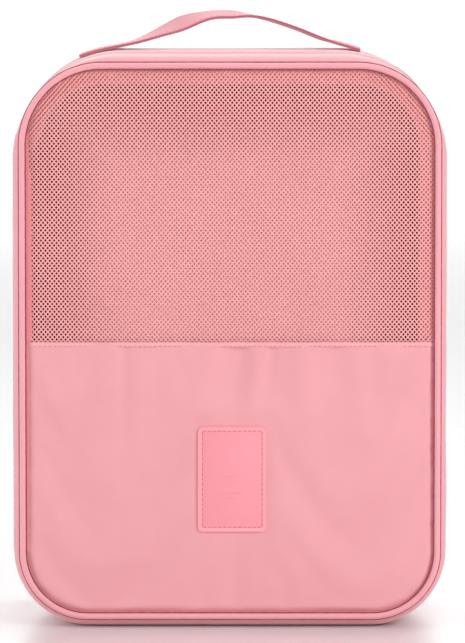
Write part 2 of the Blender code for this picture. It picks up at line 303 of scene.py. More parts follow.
def addNode(tree, kind, inputs, **options):
    # a shader node with its options set, and each input linked or given a value
    node = tree.nodes.new("ShaderNode" + kind)
    for name, value in options.items():
        setattr(node, name, value)
    for name, value in inputs.items():
        if isinstance(value, bpy.types.NodeSocket):
            tree.links.new(value, node.inputs[name])
        else:
            node.inputs[name].default_value = value
    return node


def mathNode(tree, operation, *values):
    return addNode(tree, "Math", dict(enumerate(values)), operation=operation).outputs[0]


def colourMix(tree, share, first, second, blend="MIX"):
    return addNode(tree, "Mix", {0: share, 6: first, 7: second}, data_type="RGBA", blend_type=blend).outputs[2]


def buildWeaveGroup():
    # plain weave: threads that pass over and under each other, with a little slub
    group, start, end = newGroup(
        "threadWeave", [("Vector", "Vector", None), ("Pitch", "Float", 0.0005), ("Slub", "Float", 0.3)],
        [("Height", "Float"), ("Mask", "Float")])
    turns = mathNode(group, "DIVIDE", math.pi, start["Pitch"])
    scale = addNode(group, "VectorMath", {0: start["Vector"], "Scale": turns}, operation="SCALE")
    parts = addNode(group, "SeparateXYZ", {0: scale.outputs[0]}).outputs
    cross = mathNode(group, "MULTIPLY", mathNode(group, "SINE", parts["X"]), mathNode(group, "SINE", parts["Y"]))
    lifted = mathNode(group, "MULTIPLY_ADD", cross, 0.5, 0.5)
    uneven = addNode(group, "TexNoise", {"Vector": start["Vector"], "Scale": 900, "Detail": 3})
    slub = mathNode(group, "MULTIPLY", uneven.outputs["Fac"], start["Slub"])
    group.links.new(mathNode(group, "ADD", lifted, slub), end["Height"])
    group.links.new(lifted, end["Mask"])
    return group


def buildToneGroup():
    # patchy lighter and darker cloth, as dye and handling leave it
    group, start, end = newGroup(
        "dyeTone", [("Vector", "Vector", None), ("Color", "Color", None), ("Deep", "Color", None),
                    ("Size", "Float", 25.0), ("Amount", "Float", 0.3)],
        [("Color", "Color"), ("Mask", "Float")])
    patches = addNode(group, "TexNoise", {"Vector": start["Vector"], "Scale": start["Size"], "Detail": 4,
                                          "Roughness": 0.6})
    spread = addNode(group, "MapRange", {"Value": patches.outputs["Fac"], "From Min": 0.3, "From Max": 0.7})
    share = mathNode(group, "MULTIPLY", spread.outputs["Result"], start["Amount"])
    group.links.new(colourMix(group, share, start["Color"], start["Deep"]), end["Color"])
    group.links.new(share, end["Mask"])
    return group


weaveGroup = buildWeaveGroup()
toneGroup = buildToneGroup()


def newFinish(name, colour, roughness, sheen=0.0, metallic=0.0, specular=0.5, coat=0.0):
    finish = bpy.data.materials.new(name)
    finish.use_nodes = True
    shader = finish.node_tree.nodes["Principled BSDF"].inputs
    for socket, value in (("Base Color", colour), ("Roughness", roughness), ("Metallic", metallic),
                          ("Specular IOR Level", specular), ("Sheen Weight", sheen), ("Sheen Roughness", 0.4),
                          ("Coat Weight", coat), ("Coat Roughness", 0.25)):
        shader[socket].default_value = value
    return finish, finish.node_tree, shader


def dyed(tree, place, colour, deepShare, size, amount):
    # the finish's colour, with patches that are a share deeper
    deep = (colour[0] * deepShare, colour[1] * deepShare * 0.9, colour[2] * deepShare * 0.92, 1.0)
    settings = {"Vector": place, "Color": colour, "Deep": deep, "Size": size, "Amount": amount}
    return addNode(tree, "Group", settings, node_tree=toneGroup).outputs["Color"]


def raised(tree, shader, height, depth):
    bump = addNode(tree, "Bump", {"Height": height, "Distance": depth, "Strength": 0.5})
    tree.links.new(bump.outputs[0], shader["Normal"])


def clothFinish(name, colour, pitch, depth, roughness=0.62, sheen=0.25, tone=0.25, turn=0.0):
    # woven cloth on the piece's own UV map, which is in metres
    finish, tree, shader = newFinish(name, tint(*colour), roughness, sheen, specular=0.35)
    surface = tree.nodes.new("ShaderNodeUVMap").outputs[0]
    turned = addNode(tree, "Mapping", {"Vector": surface, "Rotation": (0, 0, turn)}).outputs[0]
    weave = addNode(tree, "Group", {}, node_tree=weaveGroup)
    weave.inputs["Pitch"].default_value = pitch * mm
    tree.links.new(turned, weave.inputs["Vector"])
    place = tree.nodes.new("ShaderNodeTexCoord").outputs["Object"]
    patchy = dyed(tree, place, tint(*colour), 0.82, 22, tone)
    # painted shade: the gaps between threads are darkened a little, for the shade they lie in
    threadGapShade = mathNode(tree, "SUBTRACT", 1.0, weave.outputs["Mask"])
    shaded = colourMix(tree, threadGapShade, patchy, (0.95, 0.86, 0.88, 1.0), "MULTIPLY")
    tree.links.new(shaded, shader["Base Color"])
    raised(tree, shader, weave.outputs["Height"], depth * mm)
    return finish


def grainFinish(name, colour, scale, depth, roughness, sheen=0.0, metallic=0.0, tone=0.2, coat=0.0):
    # leatherette, thread, enamel and foam: grain on Object coordinates
    finish, tree, shader = newFinish(name, tint(*colour), roughness, sheen, metallic, coat=coat)
    place = tree.nodes.new("ShaderNodeTexCoord").outputs["Object"]
    tree.links.new(dyed(tree, place, tint(*colour), 0.85, 60, tone), shader["Base Color"])
    cells = addNode(tree, "TexVoronoi", {"Vector": place, "Scale": scale})
    fine = addNode(tree, "TexNoise", {"Vector": place, "Scale": scale * 2.5}).outputs["Fac"]
    spread = addNode(tree, "MapRange", {"Value": fine, "To Min": roughness - 0.06, "To Max": roughness + 0.08})
    tree.links.new(spread.outputs["Result"], shader["Roughness"])
    raised(tree, shader, mathNode(tree, "ADD", cells.outputs["Distance"], fine), depth * mm)
    return finish


# cloths: colour, thread pitch and relief in mm; grains: colour, grain scale, relief in mm and roughness
nylon = clothFinish("nylon", (244, 173, 180), 0.45, 0.05, roughness=0.5, sheen=0.6)
knit = clothFinish("knit", (252, 183, 181), 0.5, 0.02, roughness=0.75, sheen=0.2, turn=0.6)
pipingCloth = clothFinish("pipingCloth", (247, 176, 184), 0.45, 0.05, sheen=0.35, turn=0.785)
hemCloth = clothFinish("hemCloth", (250, 182, 188), 0.45, 0.05, sheen=0.35)
liningCloth = clothFinish("liningCloth", (232, 150, 158), 0.4, 0.04, roughness=0.7, sheen=0.15)
zipCloth = clothFinish("zipCloth", (238, 156, 165), 0.7, 0.12, roughness=0.7, turn=0.785)
bindingTape = clothFinish("bindingTape", (240, 146, 148), 0.6, 0.08, roughness=0.7)
# painted shade: a darker strap colour for its sideways faces, for the dark outline its edges show
webbingShadedSides = clothFinish("webbingShadedSides", (218, 146, 160), 0.6, 0.08, roughness=0.6, sheen=0.2)
webbingNylon = clothFinish("webbingNylon", (232, 152, 162), 0.5, 0.07, roughness=0.5, sheen=0.3)
leatherette = grainFinish("leatherette", (250, 155, 168), 1100, 0.06, 0.42, tone=0.15, coat=0.1)
leatheretteRim = grainFinish("leatheretteRim", (250, 166, 175), 1100, 0.05, 0.4, tone=0.1, coat=0.1)
threadFinish = grainFinish("thread", (240, 150, 160), 2500, 0.05, 0.6, sheen=0.3)
# partly painted shade: a thread of its own deeper colour, darkened further for the shade of the grooves the hem and
# label stitches lie in
threadDeepAndShaded = grainFinish("threadDeepAndShaded", (222, 122, 136), 2500, 0.05, 0.6, sheen=0.3)
threadDark = grainFinish("threadDark", (214, 128, 140), 2500, 0.05, 0.6, sheen=0.3)
# painted shade: dark cords that stand for the shaded grooves beside the piping
grooveShadeCord = grainFinish("grooveShadeCord", (158, 74, 90), 2000, 0.05, 0.7, sheen=0.2)
coilNylon = grainFinish("coilNylon", (244, 170, 178), 1500, 0.03, 0.4)
enamel = grainFinish("enamel", (243, 170, 178), 900, 0.02, 0.3, metallic=0.35, coat=0.4)
foamCells = grainFinish("foamCells", (240, 172, 180), 800, 0.2, 0.9, tone=0.3)
print("materials made")

# floor

floorSettings = {"halfWidth": 6.5, "front": -6.5, "bendStart": 5.6, "bendRadius": 2.0, "height": 4.0,
                 "albedo": 0.84, "roughness": 0.22}


def makeFloor():
    s = floorSettings

    def place(u, v):
        x = (2 * u - 1) * s["halfWidth"]
        radius = s["bendRadius"]
        run = s["bendStart"] - s["front"]
        arc = radius * math.pi / 2
        way = v * (run + arc + s["height"])
        if way < run:
            return Vector((x, s["front"] + way, 0))
        if way < run + arc:
            angle = (way - run) / radius
            return Vector((x, s["bendStart"] + radius * math.sin(angle), radius * (1 - math.cos(angle))))
        return Vector((x, s["bendStart"] + radius, radius + way - run - arc))

    shape = startGrid(2, 80, place, (1, 1))
    bmesh.ops.recalc_face_normals(shape, faces=shape.faces)
    grey = s["albedo"]
    paper, tree, shader = newFinish("paper", (grey, grey, grey, 1), s["roughness"])
    keep("floor", shape, paper, None, 0)


makeFloor()
print("floor laid")

# gussets

gussetSettings = {
    "columns": 520,
    "rowPitch": 1.7 * mm,
    "fewestRows": 22,
    "clothThickness": 1.0 * mm,
    "wall": 4.6 * mm,
    "seamRise": 11 * mm,
    "seamPower": 2.4,
    "zipFall": 8 * mm,
    "zipPower": 2.2,
    "base": 0.2 * mm,
    "sink": 1.5 * mm,
    "slack": 0.55 * mm,
    "slackPitch": 38 * mm,
    "slackReach": 12 * mm,
    "pucker": 0.28 * mm,
    "puckerReach": 7 * mm,
    "puckerPitch": 6.5 * mm,
    "lidTopDrop": 0.6 * mm,
    "foamSkin": 1.5 * mm,
    "foamBack": 1.0 * mm,
    "liningThickness": 0.6 * mm,
    "liningSag": 0.7 * mm,
    "liningPitch": 16 * mm,
}


def crownAt(seamway, zipway):
    # how far the gusset stands out, from its distance to the seam and to the zip edge
    s = gussetSettings
    rise = math.sqrt(max(0.0, 1 - (1 - min(1.0, seamway / s["seamRise"])) ** s["seamPower"]))
    fall = math.sqrt(max(0.0, 1 - (1 - min(1.0, zipway / s["zipFall"])) ** s["zipPower"]))
    full = outlineSizes["crown"]
    return min(s["base"] + (full - s["base"]) * rise, -s["sink"] + (full + s["sink"]) * fall)


def topDrop(out, seamway, width, drop):
    # the lid's top is a little lower than the bag's, so the bag shows behind it
    return drop * max(0.0, out.y) ** 3 * smooth(seamway / (6 * mm)) * smooth((width - seamway) / (5 * mm))


def gussetSkin(u, seamway, width, seam, way, inset, seed, drop):
    # one point of the gusset's cloth, with its slack and the puckers along both seams
    s = gussetSettings
    seamway = max(0.0, min(width, seamway))
    crown = crownAt(seamway, width - seamway)
    flat, out = outlinePoint(u, crown, inset)
    y = seam + way * seamway
    place = Vector((flat.x, y, flat.y))
    middle = smooth(seamway / s["slackReach"]) * smooth((width - seamway) / s["slackReach"])
    near = max(0.0, 1 - seamway / s["puckerReach"]) + max(0.0, 1 - (width - seamway) / s["puckerReach"])
    gather = noise.noise(Vector((u * roundLength / s["puckerPitch"], seed, seamway / (30 * mm)))) * near
    bearing = smooth((place.z - 2 * mm) / (10 * mm))  # the side it stands on stays flat
    loose = ripple(place.x, place.y, place.z, s["slackPitch"], s["slack"], seed) * middle
    push = (loose + gather * s["pucker"]) * bearing
    push -= s["base"] + topDrop(out, seamway, width, drop)
    return Vector((flat.x + out.x * push, y, flat.y + out.y * push))


def gussetSpan(node, seam, zipEdge):
    # a gusset layer's width, and the way along Y from its seam to the zip
    low, high = boxOf(node)
    return high.y - low.y, 1 if zipEdge > seam else -1


def makeGusset(name, node, seam, zipEdge, body, seed, drop):
    s = gussetSettings
    width, way = gussetSpan(node, seam, zipEdge)
    rows = max(s["fewestRows"], round(width / s["rowPitch"]))

    def place(u, v):
        # out along the cloth's outside, round the zip edge, and back along its inside
        inset = 0.0 if v <= 0.5 else s["clothThickness"]
        return gussetSkin(u, thereAndBack(v) * width, width, seam, way, inset, seed, drop)

    shape = startGrid(s["columns"], rows * 2 + 1, place, (roundLength, 2 * width))
    keep(name, closeUp(shape), nylon, body, nodes=[node])


def makeGussetFoam(name, node, seam, zipEdge, body, drop):
    # the foam strip between the outer cloth and the lining
    s = gussetSettings
    width, way = gussetSpan(node, seam, zipEdge)

    def place(u, v):
        seamway = thereAndBack(v) * width
        if v <= 0.5:
            crown = min(outlineSizes["crown"], crownAt(seamway, width - seamway))
            flat, out = outlinePoint(u, crown, s["foamSkin"])
            flat = flat - out * topDrop(out, seamway, width, drop)
        else:
            flat, out = outlinePoint(u, 0.0, s["wall"] - s["foamBack"])
        return Vector((flat.x, seam + way * seamway, flat.y))

    shape = startGrid(180, 25, place, (roundLength, 2 * width))
    keep(name, closeUp(shape), foamCells, body, nodes=[node])


def makeGussetLining(name, node, body, seed):
    # the thin cloth inside, a little loose between its seams
    s = gussetSettings
    low, high = boxOf(node)
    width = high.y - low.y

    def place(u, v):
        across = thereAndBack(v)
        flat, out = outlinePoint(u, 0.0, s["wall"] - s["liningThickness"] if v <= 0.5 else s["wall"])
        y = low.y + across * width
        loose = smooth(across * 5) * smooth((1 - across) * 5) if v > 0.5 else 0.0
        sag = (ripple(flat.x, y, flat.y, s["liningPitch"], s["liningSag"], seed) - s["liningSag"] / 2) * loose
        return Vector((flat.x + out.x * sag, y, flat.y + out.y * sag))

    shape = startGrid(300, 31, place, (roundLength, 2 * width))
    keep(name, closeUp(shape), liningCloth, body, nodes=[node])


lidSeam, lidZipEdge = [corner.y for corner in boxOf("lid_gusset")]
bodyZipEdge, bodySeam = [corner.y for corner in boxOf("body_gusset")]
makeGusset("lidGusset", "lid_gusset", lidSeam, lidZipEdge, "lid", 3.0, gussetSettings["lidTopDrop"])
makeGusset("bodyGusset", "body_gusset", bodySeam, bodyZipEdge, "bag", 8.0, 0.0)
makeGussetFoam("lidGussetFoam", "lid_gusset_foam", lidSeam, lidZipEdge, "lid", gussetSettings["lidTopDrop"])
makeGussetFoam("bodyGussetFoam", "body_gusset_foam", bodySeam, bodyZipEdge, "bag", 0.0)
makeGussetLining("lidGussetLining", "lid_gusset_lining", "lid", 5.0)
makeGussetLining("bodyGussetLining", "body_gusset_lining", "bag", 6.0)
print("gussets sewn")

# piping

pipingSettings = {"columns": 700, "sides": 14, "wobble": 0.16 * mm, "wobblePitch": 35 * mm, "ridge": 0.07 * mm,
                  "ridgePitch": 2.6 * mm, "spare": 0.1 * mm}


def makePiping(name, node, body, seed):
    # a cord inside bias tape, which wrinkles a little round the corners
    s = pipingSettings
    low, high = boxOf(node)
    middle = (low.y + high.y) / 2

    def place(u, v):
        angle = 2 * math.pi * v
        flat, out = outlinePoint(u, 0.0, pipeRadius)
        along = u * roundLength
        wave = noise.noise(Vector((along / s["ridgePitch"], seed, v * 2.0)))
        radius = pipeRadius + s["ridge"] * wave - s["spare"]
        shift = noise.noise(Vector((along / s["wobblePitch"], seed + 4, 0))) * s["wobble"]
        lift = radius * math.sin(angle) + shift * 0.4
        return Vector((flat.x + out.x * lift, middle + radius * math.cos(angle), flat.y + out.y * lift))

    shape = startGrid(s["columns"], s["sides"], place, (roundLength, 2 * math.pi * pipeRadius))
    keep(name, closeUp(shape), pipingCloth, body, 0, nodes=[node])


grooveShadeSettings = {"columns": 560, "sides": 6, "radius": 0.36 * mm, "outerPlace": 0.12 * mm, "innerPlace": 3.72 * mm,
                "outerDepth": -0.55, "innerDepth": 0.25, "stitch": 0.10 * mm, "stitchPitch": 2.4 * mm}


def makeGrooveShadeCords(prefix, node, body, face):
    # painted shade: two dark cords beside the piping, one along the gusset, one along the face, stand for the shaded
    # grooves of its seams
    s = grooveShadeSettings
    low, high = boxOf(node)
    middle = (low.y + high.y) / 2
    turns = 2 * math.pi * round(roundLength / s["stitchPitch"])
    for name, crown, inset, depth in (("OuterGrooveShade", s["outerPlace"], 0.0, s["outerDepth"]),
                                      ("InnerGrooveShade", 0.0, s["innerPlace"], s["innerDepth"])):
        y = middle + face * pipeRadius * depth

        def place(u, v):
            angle = 2 * math.pi * v
            flat, out = outlinePoint(u, crown, inset)
            reach = (s["radius"] + s["stitch"] * math.cos(turns * u) * 0.4) * math.sin(angle)
            return Vector((flat.x + out.x * reach, y + s["radius"] * math.cos(angle), flat.y + out.y * reach))

        shape = startGrid(s["columns"], s["sides"], place, (roundLength, 2 * math.pi * s["radius"]))
        keep(prefix + name, closeUp(shape), grooveShadeCord, body, 0)


makePiping("lidPiping", "lid_piping", "lid", 1.0)
makePiping("backPiping", "back_piping", "bag", 2.0)
makeGrooveShadeCords("lid", "lid_piping", "lid", -1)
makeGrooveShadeCords("back", "back_piping", "bag", 1)
print("piping laid")

# front face

faceSettings = {
    "inset": 3.0 * mm,
    "sewnDip": 2.0 * mm,
    "dipReach": 5 * mm,
    "cornerShare": 0.3,
    "swell": 1.2 * mm,
    "swellReach": 60 * mm,
}
panelFront = boxOf("lower_panel")[0].y


def panelPoint(u, v, inset, upper):
    # the half face above or below the split, from its rounded edge (v = 0) to the split (v = 1)
    s = faceSettings
    radius = outlineSizes["topRadius" if upper else "bottomRadius"] - inset
    half = halfWidth - inset
    edge = faceHigh.z - inset if upper else faceLow.z + inset
    way = -1 if upper else 1
    if v < s["cornerShare"]:
        angle = v / s["cornerShare"] * math.pi / 2
        drop = radius * (1 - math.cos(angle))
        reach = half - radius + radius * math.sin(angle)
    else:
        drop = radius + (v - s["cornerShare"]) / (1 - s["cornerShare"]) * (abs(splitZ - edge) - radius)
        reach = half
    return (2 * u - 1) * reach, edge + way * drop


def facePoint(u, v, inset):
    # the whole face, from its bottom edge (v = 0) up to its top edge (v = 1)
    return panelPoint(u, thereAndBack(v), inset, v > 0.5)


def edgeDistance(x, z, inset=0.0):
    # how far a point of the face lies inside the rounded outline
    half = halfWidth - inset
    low, high = faceLow.z + inset, faceHigh.z - inset
    radius = (outlineSizes["topRadius"] if z > splitZ else outlineSizes["bottomRadius"]) - inset
    over = abs(x) - (half - radius)
    under = (z - (high - radius)) if z > splitZ else (low + radius - z)
    if over > 0 and under > 0:
        return radius - math.hypot(over, under)
    return min(half - abs(x), high - z, z - low)


def faceSwell(x, z):
    # the face dips into its seam and stands a little proud in the middle
    s = faceSettings
    inside = edgeDistance(x, z, s["inset"])
    dip = (1 - smooth(inside / s["dipReach"])) * s["sewnDip"]
    return dip - s["swell"] * smooth(inside / s["swellReach"])


labelPlace = {"aside": 1.2 * mm, "fade": 9 * mm, "swellShare": 0.95}


def labelSeat():
    # the plane that the label lies on
    return panelFront - faceSettings["swell"] * labelPlace["swellShare"]


def labelBox():
    # the label's corners; it is sewn a little to the right of the middle
    low, high = boxOf("label_patch")
    aside = Vector((labelPlace["aside"], 0, 0))
    return low + aside, high + aside


def labelMask(x, z):
    # one under the label, fading out round it
    low, high = labelCorners
    over = max(0.0, low.x - x, x - high.x)
    up = max(0.0, low.z - z, z - high.z)
    return 1 - smooth(math.hypot(over, up) / labelPlace["fade"])


labelCorners = labelBox()
lowerSettings = {
    "columns": 150,
    "rows": 100,
    "thickness": 0.8 * mm,
    "folds": [
        # place across the hem and height, in mm: the cloth falls steeply to the right of each ridge
        (-114, 0), (-63, 1.8), (-55, -1.0), (-13, 2.2), (6, -1.8), (17, 1.0), (24, -1.0), (41, 1.3),
        (58, -2.0), (86, 2.2), (109, -1.0), (114, 0),
    ],
    "foldLean": -0.16,
    "leanReach": 0.09,
    "foldReach": 0.14,
    "foldLeast": 0.16,
    "foldTop": (0.001, 0.007),  # where the folds start above the hem, and over what height they grow
    "foldSide": 0.012,
    "gatherTop": 0.002,
    "gatherPitch": 5.0 * mm,
    "gatherDepth": 0.9 * mm,
    "gatherReach": 10 * mm,
    "drape": 0.8 * mm,
    "drapePitch": 34 * mm,
    "drapeReach": 0.02,
    "settleReach": 4 * mm,
}


def foldHeight(x, below):
    # the hanging folds under the hem, which lean and die out on the way down
    s = lowerSettings
    at = (x - s["foldLean"] * below * smooth(1 - abs(x) / s["leanReach"])) / mm
    height = 0.0
    for (x0, h0), (x1, h1) in zip(s["folds"], s["folds"][1:]):
        if x0 <= at <= x1:
            height = h0 + (h1 - h0) * smooth((at - x0) / (x1 - x0))
    fade = max(s["foldLeast"], (1 - below / s["foldReach"]) ** 2 if below < s["foldReach"] else 0)
    return height * mm * fade


def creaseDepth(x, z):
    # the folds that hang from the hem, and fine gathers along every seam
    s = lowerSettings
    below = splitZ - z
    inside = edgeDistance(x, z, faceSettings["inset"])
    start, growth = s["foldTop"]
    depth = -foldHeight(x, below) * smooth((below + start) / growth) * smooth(inside / s["foldSide"])
    side = max(0.0, 1 - inside / s["gatherReach"]) ** 2
    top = max(0.0, 1 - below / s["gatherReach"]) ** 2
    depth += noise.noise(Vector((0.3, z / s["gatherPitch"], 2.0 + x))) * s["gatherDepth"] * side
    top *= smooth(below / s["gatherTop"])
    depth += noise.noise(Vector((x / s["gatherPitch"], 5.0, 1.0))) * s["gatherDepth"] * top
    return depth + ripple(x, 0.5, z, s["drapePitch"], s["drape"], 1.7) * smooth(inside / s["drapeReach"])


def panelSpot(x, z):
    # the cut panel before it settles
    loose = panelFront + faceSwell(x, z) + creaseDepth(x, z)
    held = labelMask(x, z)
    return Vector((x, loose * (1 - held) + labelSeat() * held, z))


def panelPlace(u, v):
    return panelSpot(*panelPoint(u, v, faceSettings["inset"], False))


simSettings = {
    "columns": 64,
    "rows": 44,
    "steps": 20,
    "held": 0.85,
    "gravity": 0.3,
    "cloth": {
        "quality": 8,
        "mass": 0.15,
        "tension_stiffness": 12,
        "compression_stiffness": 8,
        "shear_stiffness": 4,
        "bending_stiffness": 0.4,
        "vertex_group_mass": "sewn",
        "shrink_min": -0.006,
    },
    "nearest": 9,
    "blur": 4.5 * mm,
    "cap": 1.4 * mm,
}


def settlePanel():
    # cloth simulation of the lower panel on an open weave of points; gives the moves as a k-d tree and a list
    s = simSettings
    shape = startGrid(s["columns"], s["rows"], panelPlace, (1, 1))
    bmesh.ops.remove_doubles(shape, verts=shape.verts, dist=1e-6)
    shape.verts.index_update()
    held = [vert.index for vert in shape.verts if vert.is_boundary or labelMask(vert.co.x, vert.co.z) > s["held"]]
    trial = keep("panelTrial", shape, nylon, None, 0)
    rest = [vert.co.copy() for vert in trial.data.vertices]
    trial.vertex_groups.new(name="sewn").add(held, 1.0, "REPLACE")
    cloth = trial.modifiers.new("settle", "CLOTH")
    for name, value in s["cloth"].items():
        setattr(cloth.settings, name, value)
    cloth.settings.effector_weights.gravity = s["gravity"]
    cloth.collision_settings.use_collision = False
    cloth.point_cache.frame_start = 1
    cloth.point_cache.frame_end = s["steps"]
    for step in range(1, s["steps"] + 1):
        bpy.context.scene.frame_set(step)
    view = bpy.context.evaluated_depsgraph_get()
    moves = [vert.co.y - old.y for vert, old in zip(trial.evaluated_get(view).data.vertices, rest)]
    bpy.context.scene.frame_set(1)
    bpy.data.objects.remove(trial)
    tree = kdtree.KDTree(len(rest))
    for index, old in enumerate(rest):
        tree.insert(old, index)
    tree.balance()
    return tree, moves


def settled(spot):
    # how far the settled cloth moved near a point, smoothed and capped
    s = simSettings
    total = weight = 0.0
    for _, index, away in panelTree.find_n(spot, s["nearest"]):
        share = math.exp(-(away / s["blur"]) ** 2)
        total += share * panelMoves[index]
        weight += share
    return max(-s["cap"], min(s["cap"], total / max(weight, 1e-9)))


def makeLowerPanel():
    s = lowerSettings

    def place(u, v):
        spot = panelPlace(u, v)
        inside = edgeDistance(spot.x, spot.z, faceSettings["inset"])
        spot.y += settled(spot) * smooth(inside / s["settleReach"]) * (1 - labelMask(spot.x, spot.z))
        return spot

    shape = clothSheet(s["columns"], s["rows"], place, s["thickness"])
    piece = keep("lowerPanel", shape, nylon, "lid", 50, nodes=["lower_panel"])


panelTree, panelMoves = settlePanel()
print("lower panel settled")


def stitch(place, along, out, length, thick):
    # one stitch: a short thread, a stretched ball centred on the given place
    shape = bmesh.new()
    bmesh.ops.create_uvsphere(shape, u_segments=8, v_segments=6, radius=0.5)
    shape.loops.layers.uv.new("UVMap")
    across = along.cross(out).normalized()
    turn = Matrix((across * thick, out.normalized() * thick, along.normalized() * length)).transposed().to_4x4()
    bmesh.ops.transform(shape, matrix=Matrix.Translation(place) @ turn, verts=shape.verts)
    bmesh.ops.recalc_face_normals(shape, faces=shape.faces)
    return shape


def stitchRow(name, points, out, length, thick, finish, body):
    # a row of stitches centred on the given points, each aimed at its neighbours
    shapes = []
    for i, point in enumerate(points):
        before = points[max(i - 1, 0)]
        after = points[min(i + 1, len(points) - 1)]
        shapes.append(stitch(point, (after - before).normalized(), out, length, thick))
    keep(name, joined(shapes), finish, body, 0)


hemSettings = {"columns": 300, "sides": 14, "depth": 1.0 * mm, "height": 2.9 * mm, "wave": 0.22 * mm,
               "stitchPitch": 2.7 * mm, "stitchLength": 1.9 * mm, "stitchThick": 0.36 * mm, "stitchRise": 0.75 * mm,
               "sink": 0.35 * mm}


def hemWave(x):
    return ripple(x, 0, 0, 22 * mm, hemSettings["wave"], 2.0)


def makeHem():
    # the lower panel's top edge, folded over the end of the window cloth and stitched down
    s = hemSettings
    half = halfWidth - 3.2 * mm
    low, high = boxOf("window_hem")
    middle = (low.z + high.z) / 2

    def place(u, v):
        x = (2 * u - 1) * half
        across, over = softSection(v, 0.7, 0.7)
        wave = hemWave(x) + ripple(x, 0, 0, 5 * mm, s["wave"] * 0.5, 3.0)
        end = faceSwell(x, middle)
        pinch = 0.12 * mm * math.cos(2 * math.pi * x / s["stitchPitch"]) * (1 if across < 0 else 0)
        y = panelFront + end - over * (s["depth"] / 2 - pinch) + 0.4 * wave + s["sink"] * smooth(-across)
        return Vector((x, y, middle + across * s["height"] / 2 + wave))

    shape = startGrid(s["columns"], s["sides"], place, (2 * half, 2 * s["height"]))
    keep("windowHem", closeUp(shape, cap=True), hemCloth, "lid", 60, nodes=["window_hem"])
    count = int(2 * (half - 3 * mm) / s["stitchPitch"])
    points = []
    for i in range(count):
        x = (i - (count - 1) / 2) * s["stitchPitch"]
        z = low.z + s["stitchRise"] + hemWave(x)
        points.append(Vector((x, panelFront + faceSwell(x, middle) - s["depth"] / 2 + s["sink"] * 0.6, z)))
    stitchRow("hemStitches", points, Vector((0, -1, 0)), s["stitchLength"], s["stitchThick"], threadDeepAndShaded,
              "lid")


makeLowerPanel()
makeHem()
print("lower panel and hem sewn")

# window

windowSettings = {
    "pitchAcross": 2.4 * mm,
    "pitchUp": 2.75 * mm,
    "threadWidth": 0.86 * mm,
    "threadDepth": 0.42 * mm,
    "step": 9 * mm,
    "sides": 6,
    "edge": 3.0 * mm,
    "setBack": 0.3 * mm,
    "wave": 0.5 * mm,
    "lap": 2.5 * mm,
    "probe": 0.5 * mm,
    "shortest": 8,
    "areaShare": 0.9,
}


def windowSurface(x, z):
    s = windowSettings
    inside = edgeDistance(x, z, faceSettings["inset"])
    wave = ripple(x, 0.2, z, 30 * mm, s["wave"], 6.0) * smooth(inside / 0.03)
    return panelFront + faceSwell(x, z) * 0.8 + s["setBack"] + wave


def netThread(start, way, ends):
    # one thread of the net, across the window from edge to edge
    s = windowSettings
    first, last = ends
    count = max(2, round((last - first) / s["step"]))
    side = Vector((way.z, 0, -way.x))

    def place(u, v):
        spot = start + way * (first + (last - first) * u)
        angle = 2 * math.pi * (v + 0.25)
        y = windowSurface(spot.x, spot.z) + math.sin(angle) * s["threadDepth"] / 2
        return Vector((spot.x, y, spot.z)) + side * math.cos(angle) * s["threadWidth"] / 2

    shape = startGrid(count, s["sides"], place, (last - first, 2 * s["threadWidth"]))
    return closeUp(shape, cap=True)


def makeWindow():
    # a knitted net: two sets of threads that cross on the slant and leave diamond holes
    s = windowSettings
    threads = []
    low = splitZ - s["lap"]
    high = faceHigh.z
    rise = s["pitchUp"] / s["pitchAcross"]
    span = halfWidth + (high - low) / rise
    count = int(span / s["pitchAcross"]) + 1
    for slant in (-1, 1):
        way = Vector((slant, 0, rise)).normalized()
        for k in range(-count, count + 1):
            start = Vector((k * s["pitchAcross"] - slant * (high - low) / rise / 2, 0, low))
            total = (high - low) / way.z
            steps = int(total / s["probe"])
            inside = []
            for i in range(steps + 1):
                spot = start + way * (total * i / steps)
                if edgeDistance(spot.x, spot.z) > s["edge"] and spot.z > low:
                    inside.append(total * i / steps)
            if len(inside) > s["shortest"]:
                threads.append(netThread(start, way, (inside[0], inside[-1])))
    piece = keep("windowMesh", joined(threads), knit, "lid", 0, nodes=["mesh_window"])
    print("net threads:", len(threads))


makeWindow()

# bands: tapes, straps and elastic


def bandSolid(frameAt, length, width, thick, columns, sides=16, square=0.4, closed=False):
    # a soft-edged band; frameAt(u) gives its middle, its side way, its thickness way and a width share
    def place(u, v):
        middle, side, out, share = frameAt(u)
        across, over = softSection(v, square, square)
        return middle + side * across * width / 2 * share + out * over * thick / 2

    shape = startGrid(columns, sides, place, (length, 2 * width))
    return closeUp(shape, cap=not closed)


def ringFrame(crown, inset, y, flat, wave=0.0, seed=0.0, reach=1.0):
    # a frame round the outline; flat bands lie in the face, the others lie in the gusset
    def frameAt(u):
        spot, out = outlinePoint(u * reach, crown, inset)
        outward = Vector((out.x, 0, out.y))
        shift = noise.noise(Vector((u * reach * roundLength / 0.012, seed, 0))) * wave
        if flat:
            return Vector((spot.x, y + shift, spot.y)), outward, Vector((0, -1, 0)), 1.0
        return Vector((spot.x, y, spot.y)) + outward * shift, Vector((0, 1, 0)), outward, 1.0
    return frameAt


bindingSettings = {
    "columns": 420,
    "thick": 0.9 * mm,
    "wave": 0.25 * mm,
    "lidWidth": 8.8 * mm,
    "lidInset": 7.7 * mm,
    "behind": 1.75 * mm,
    "narrowed": 0.55,
    "narrowShift": 2.4 * mm,
    "narrowFrom": 30 * mm,
    "narrowBelow": 36 * mm,
    "narrowReach": 16 * mm,
    "edgeWidth": 4.2 * mm,
    "edgeThick": 0.6 * mm,
    "edgeInset": 4.9 * mm,
    "edgeTop": 38 * mm,
    "edgeLength": 190 * mm,
    "backWidth": 7.0 * mm,
    "backInset": 8.6 * mm,
}


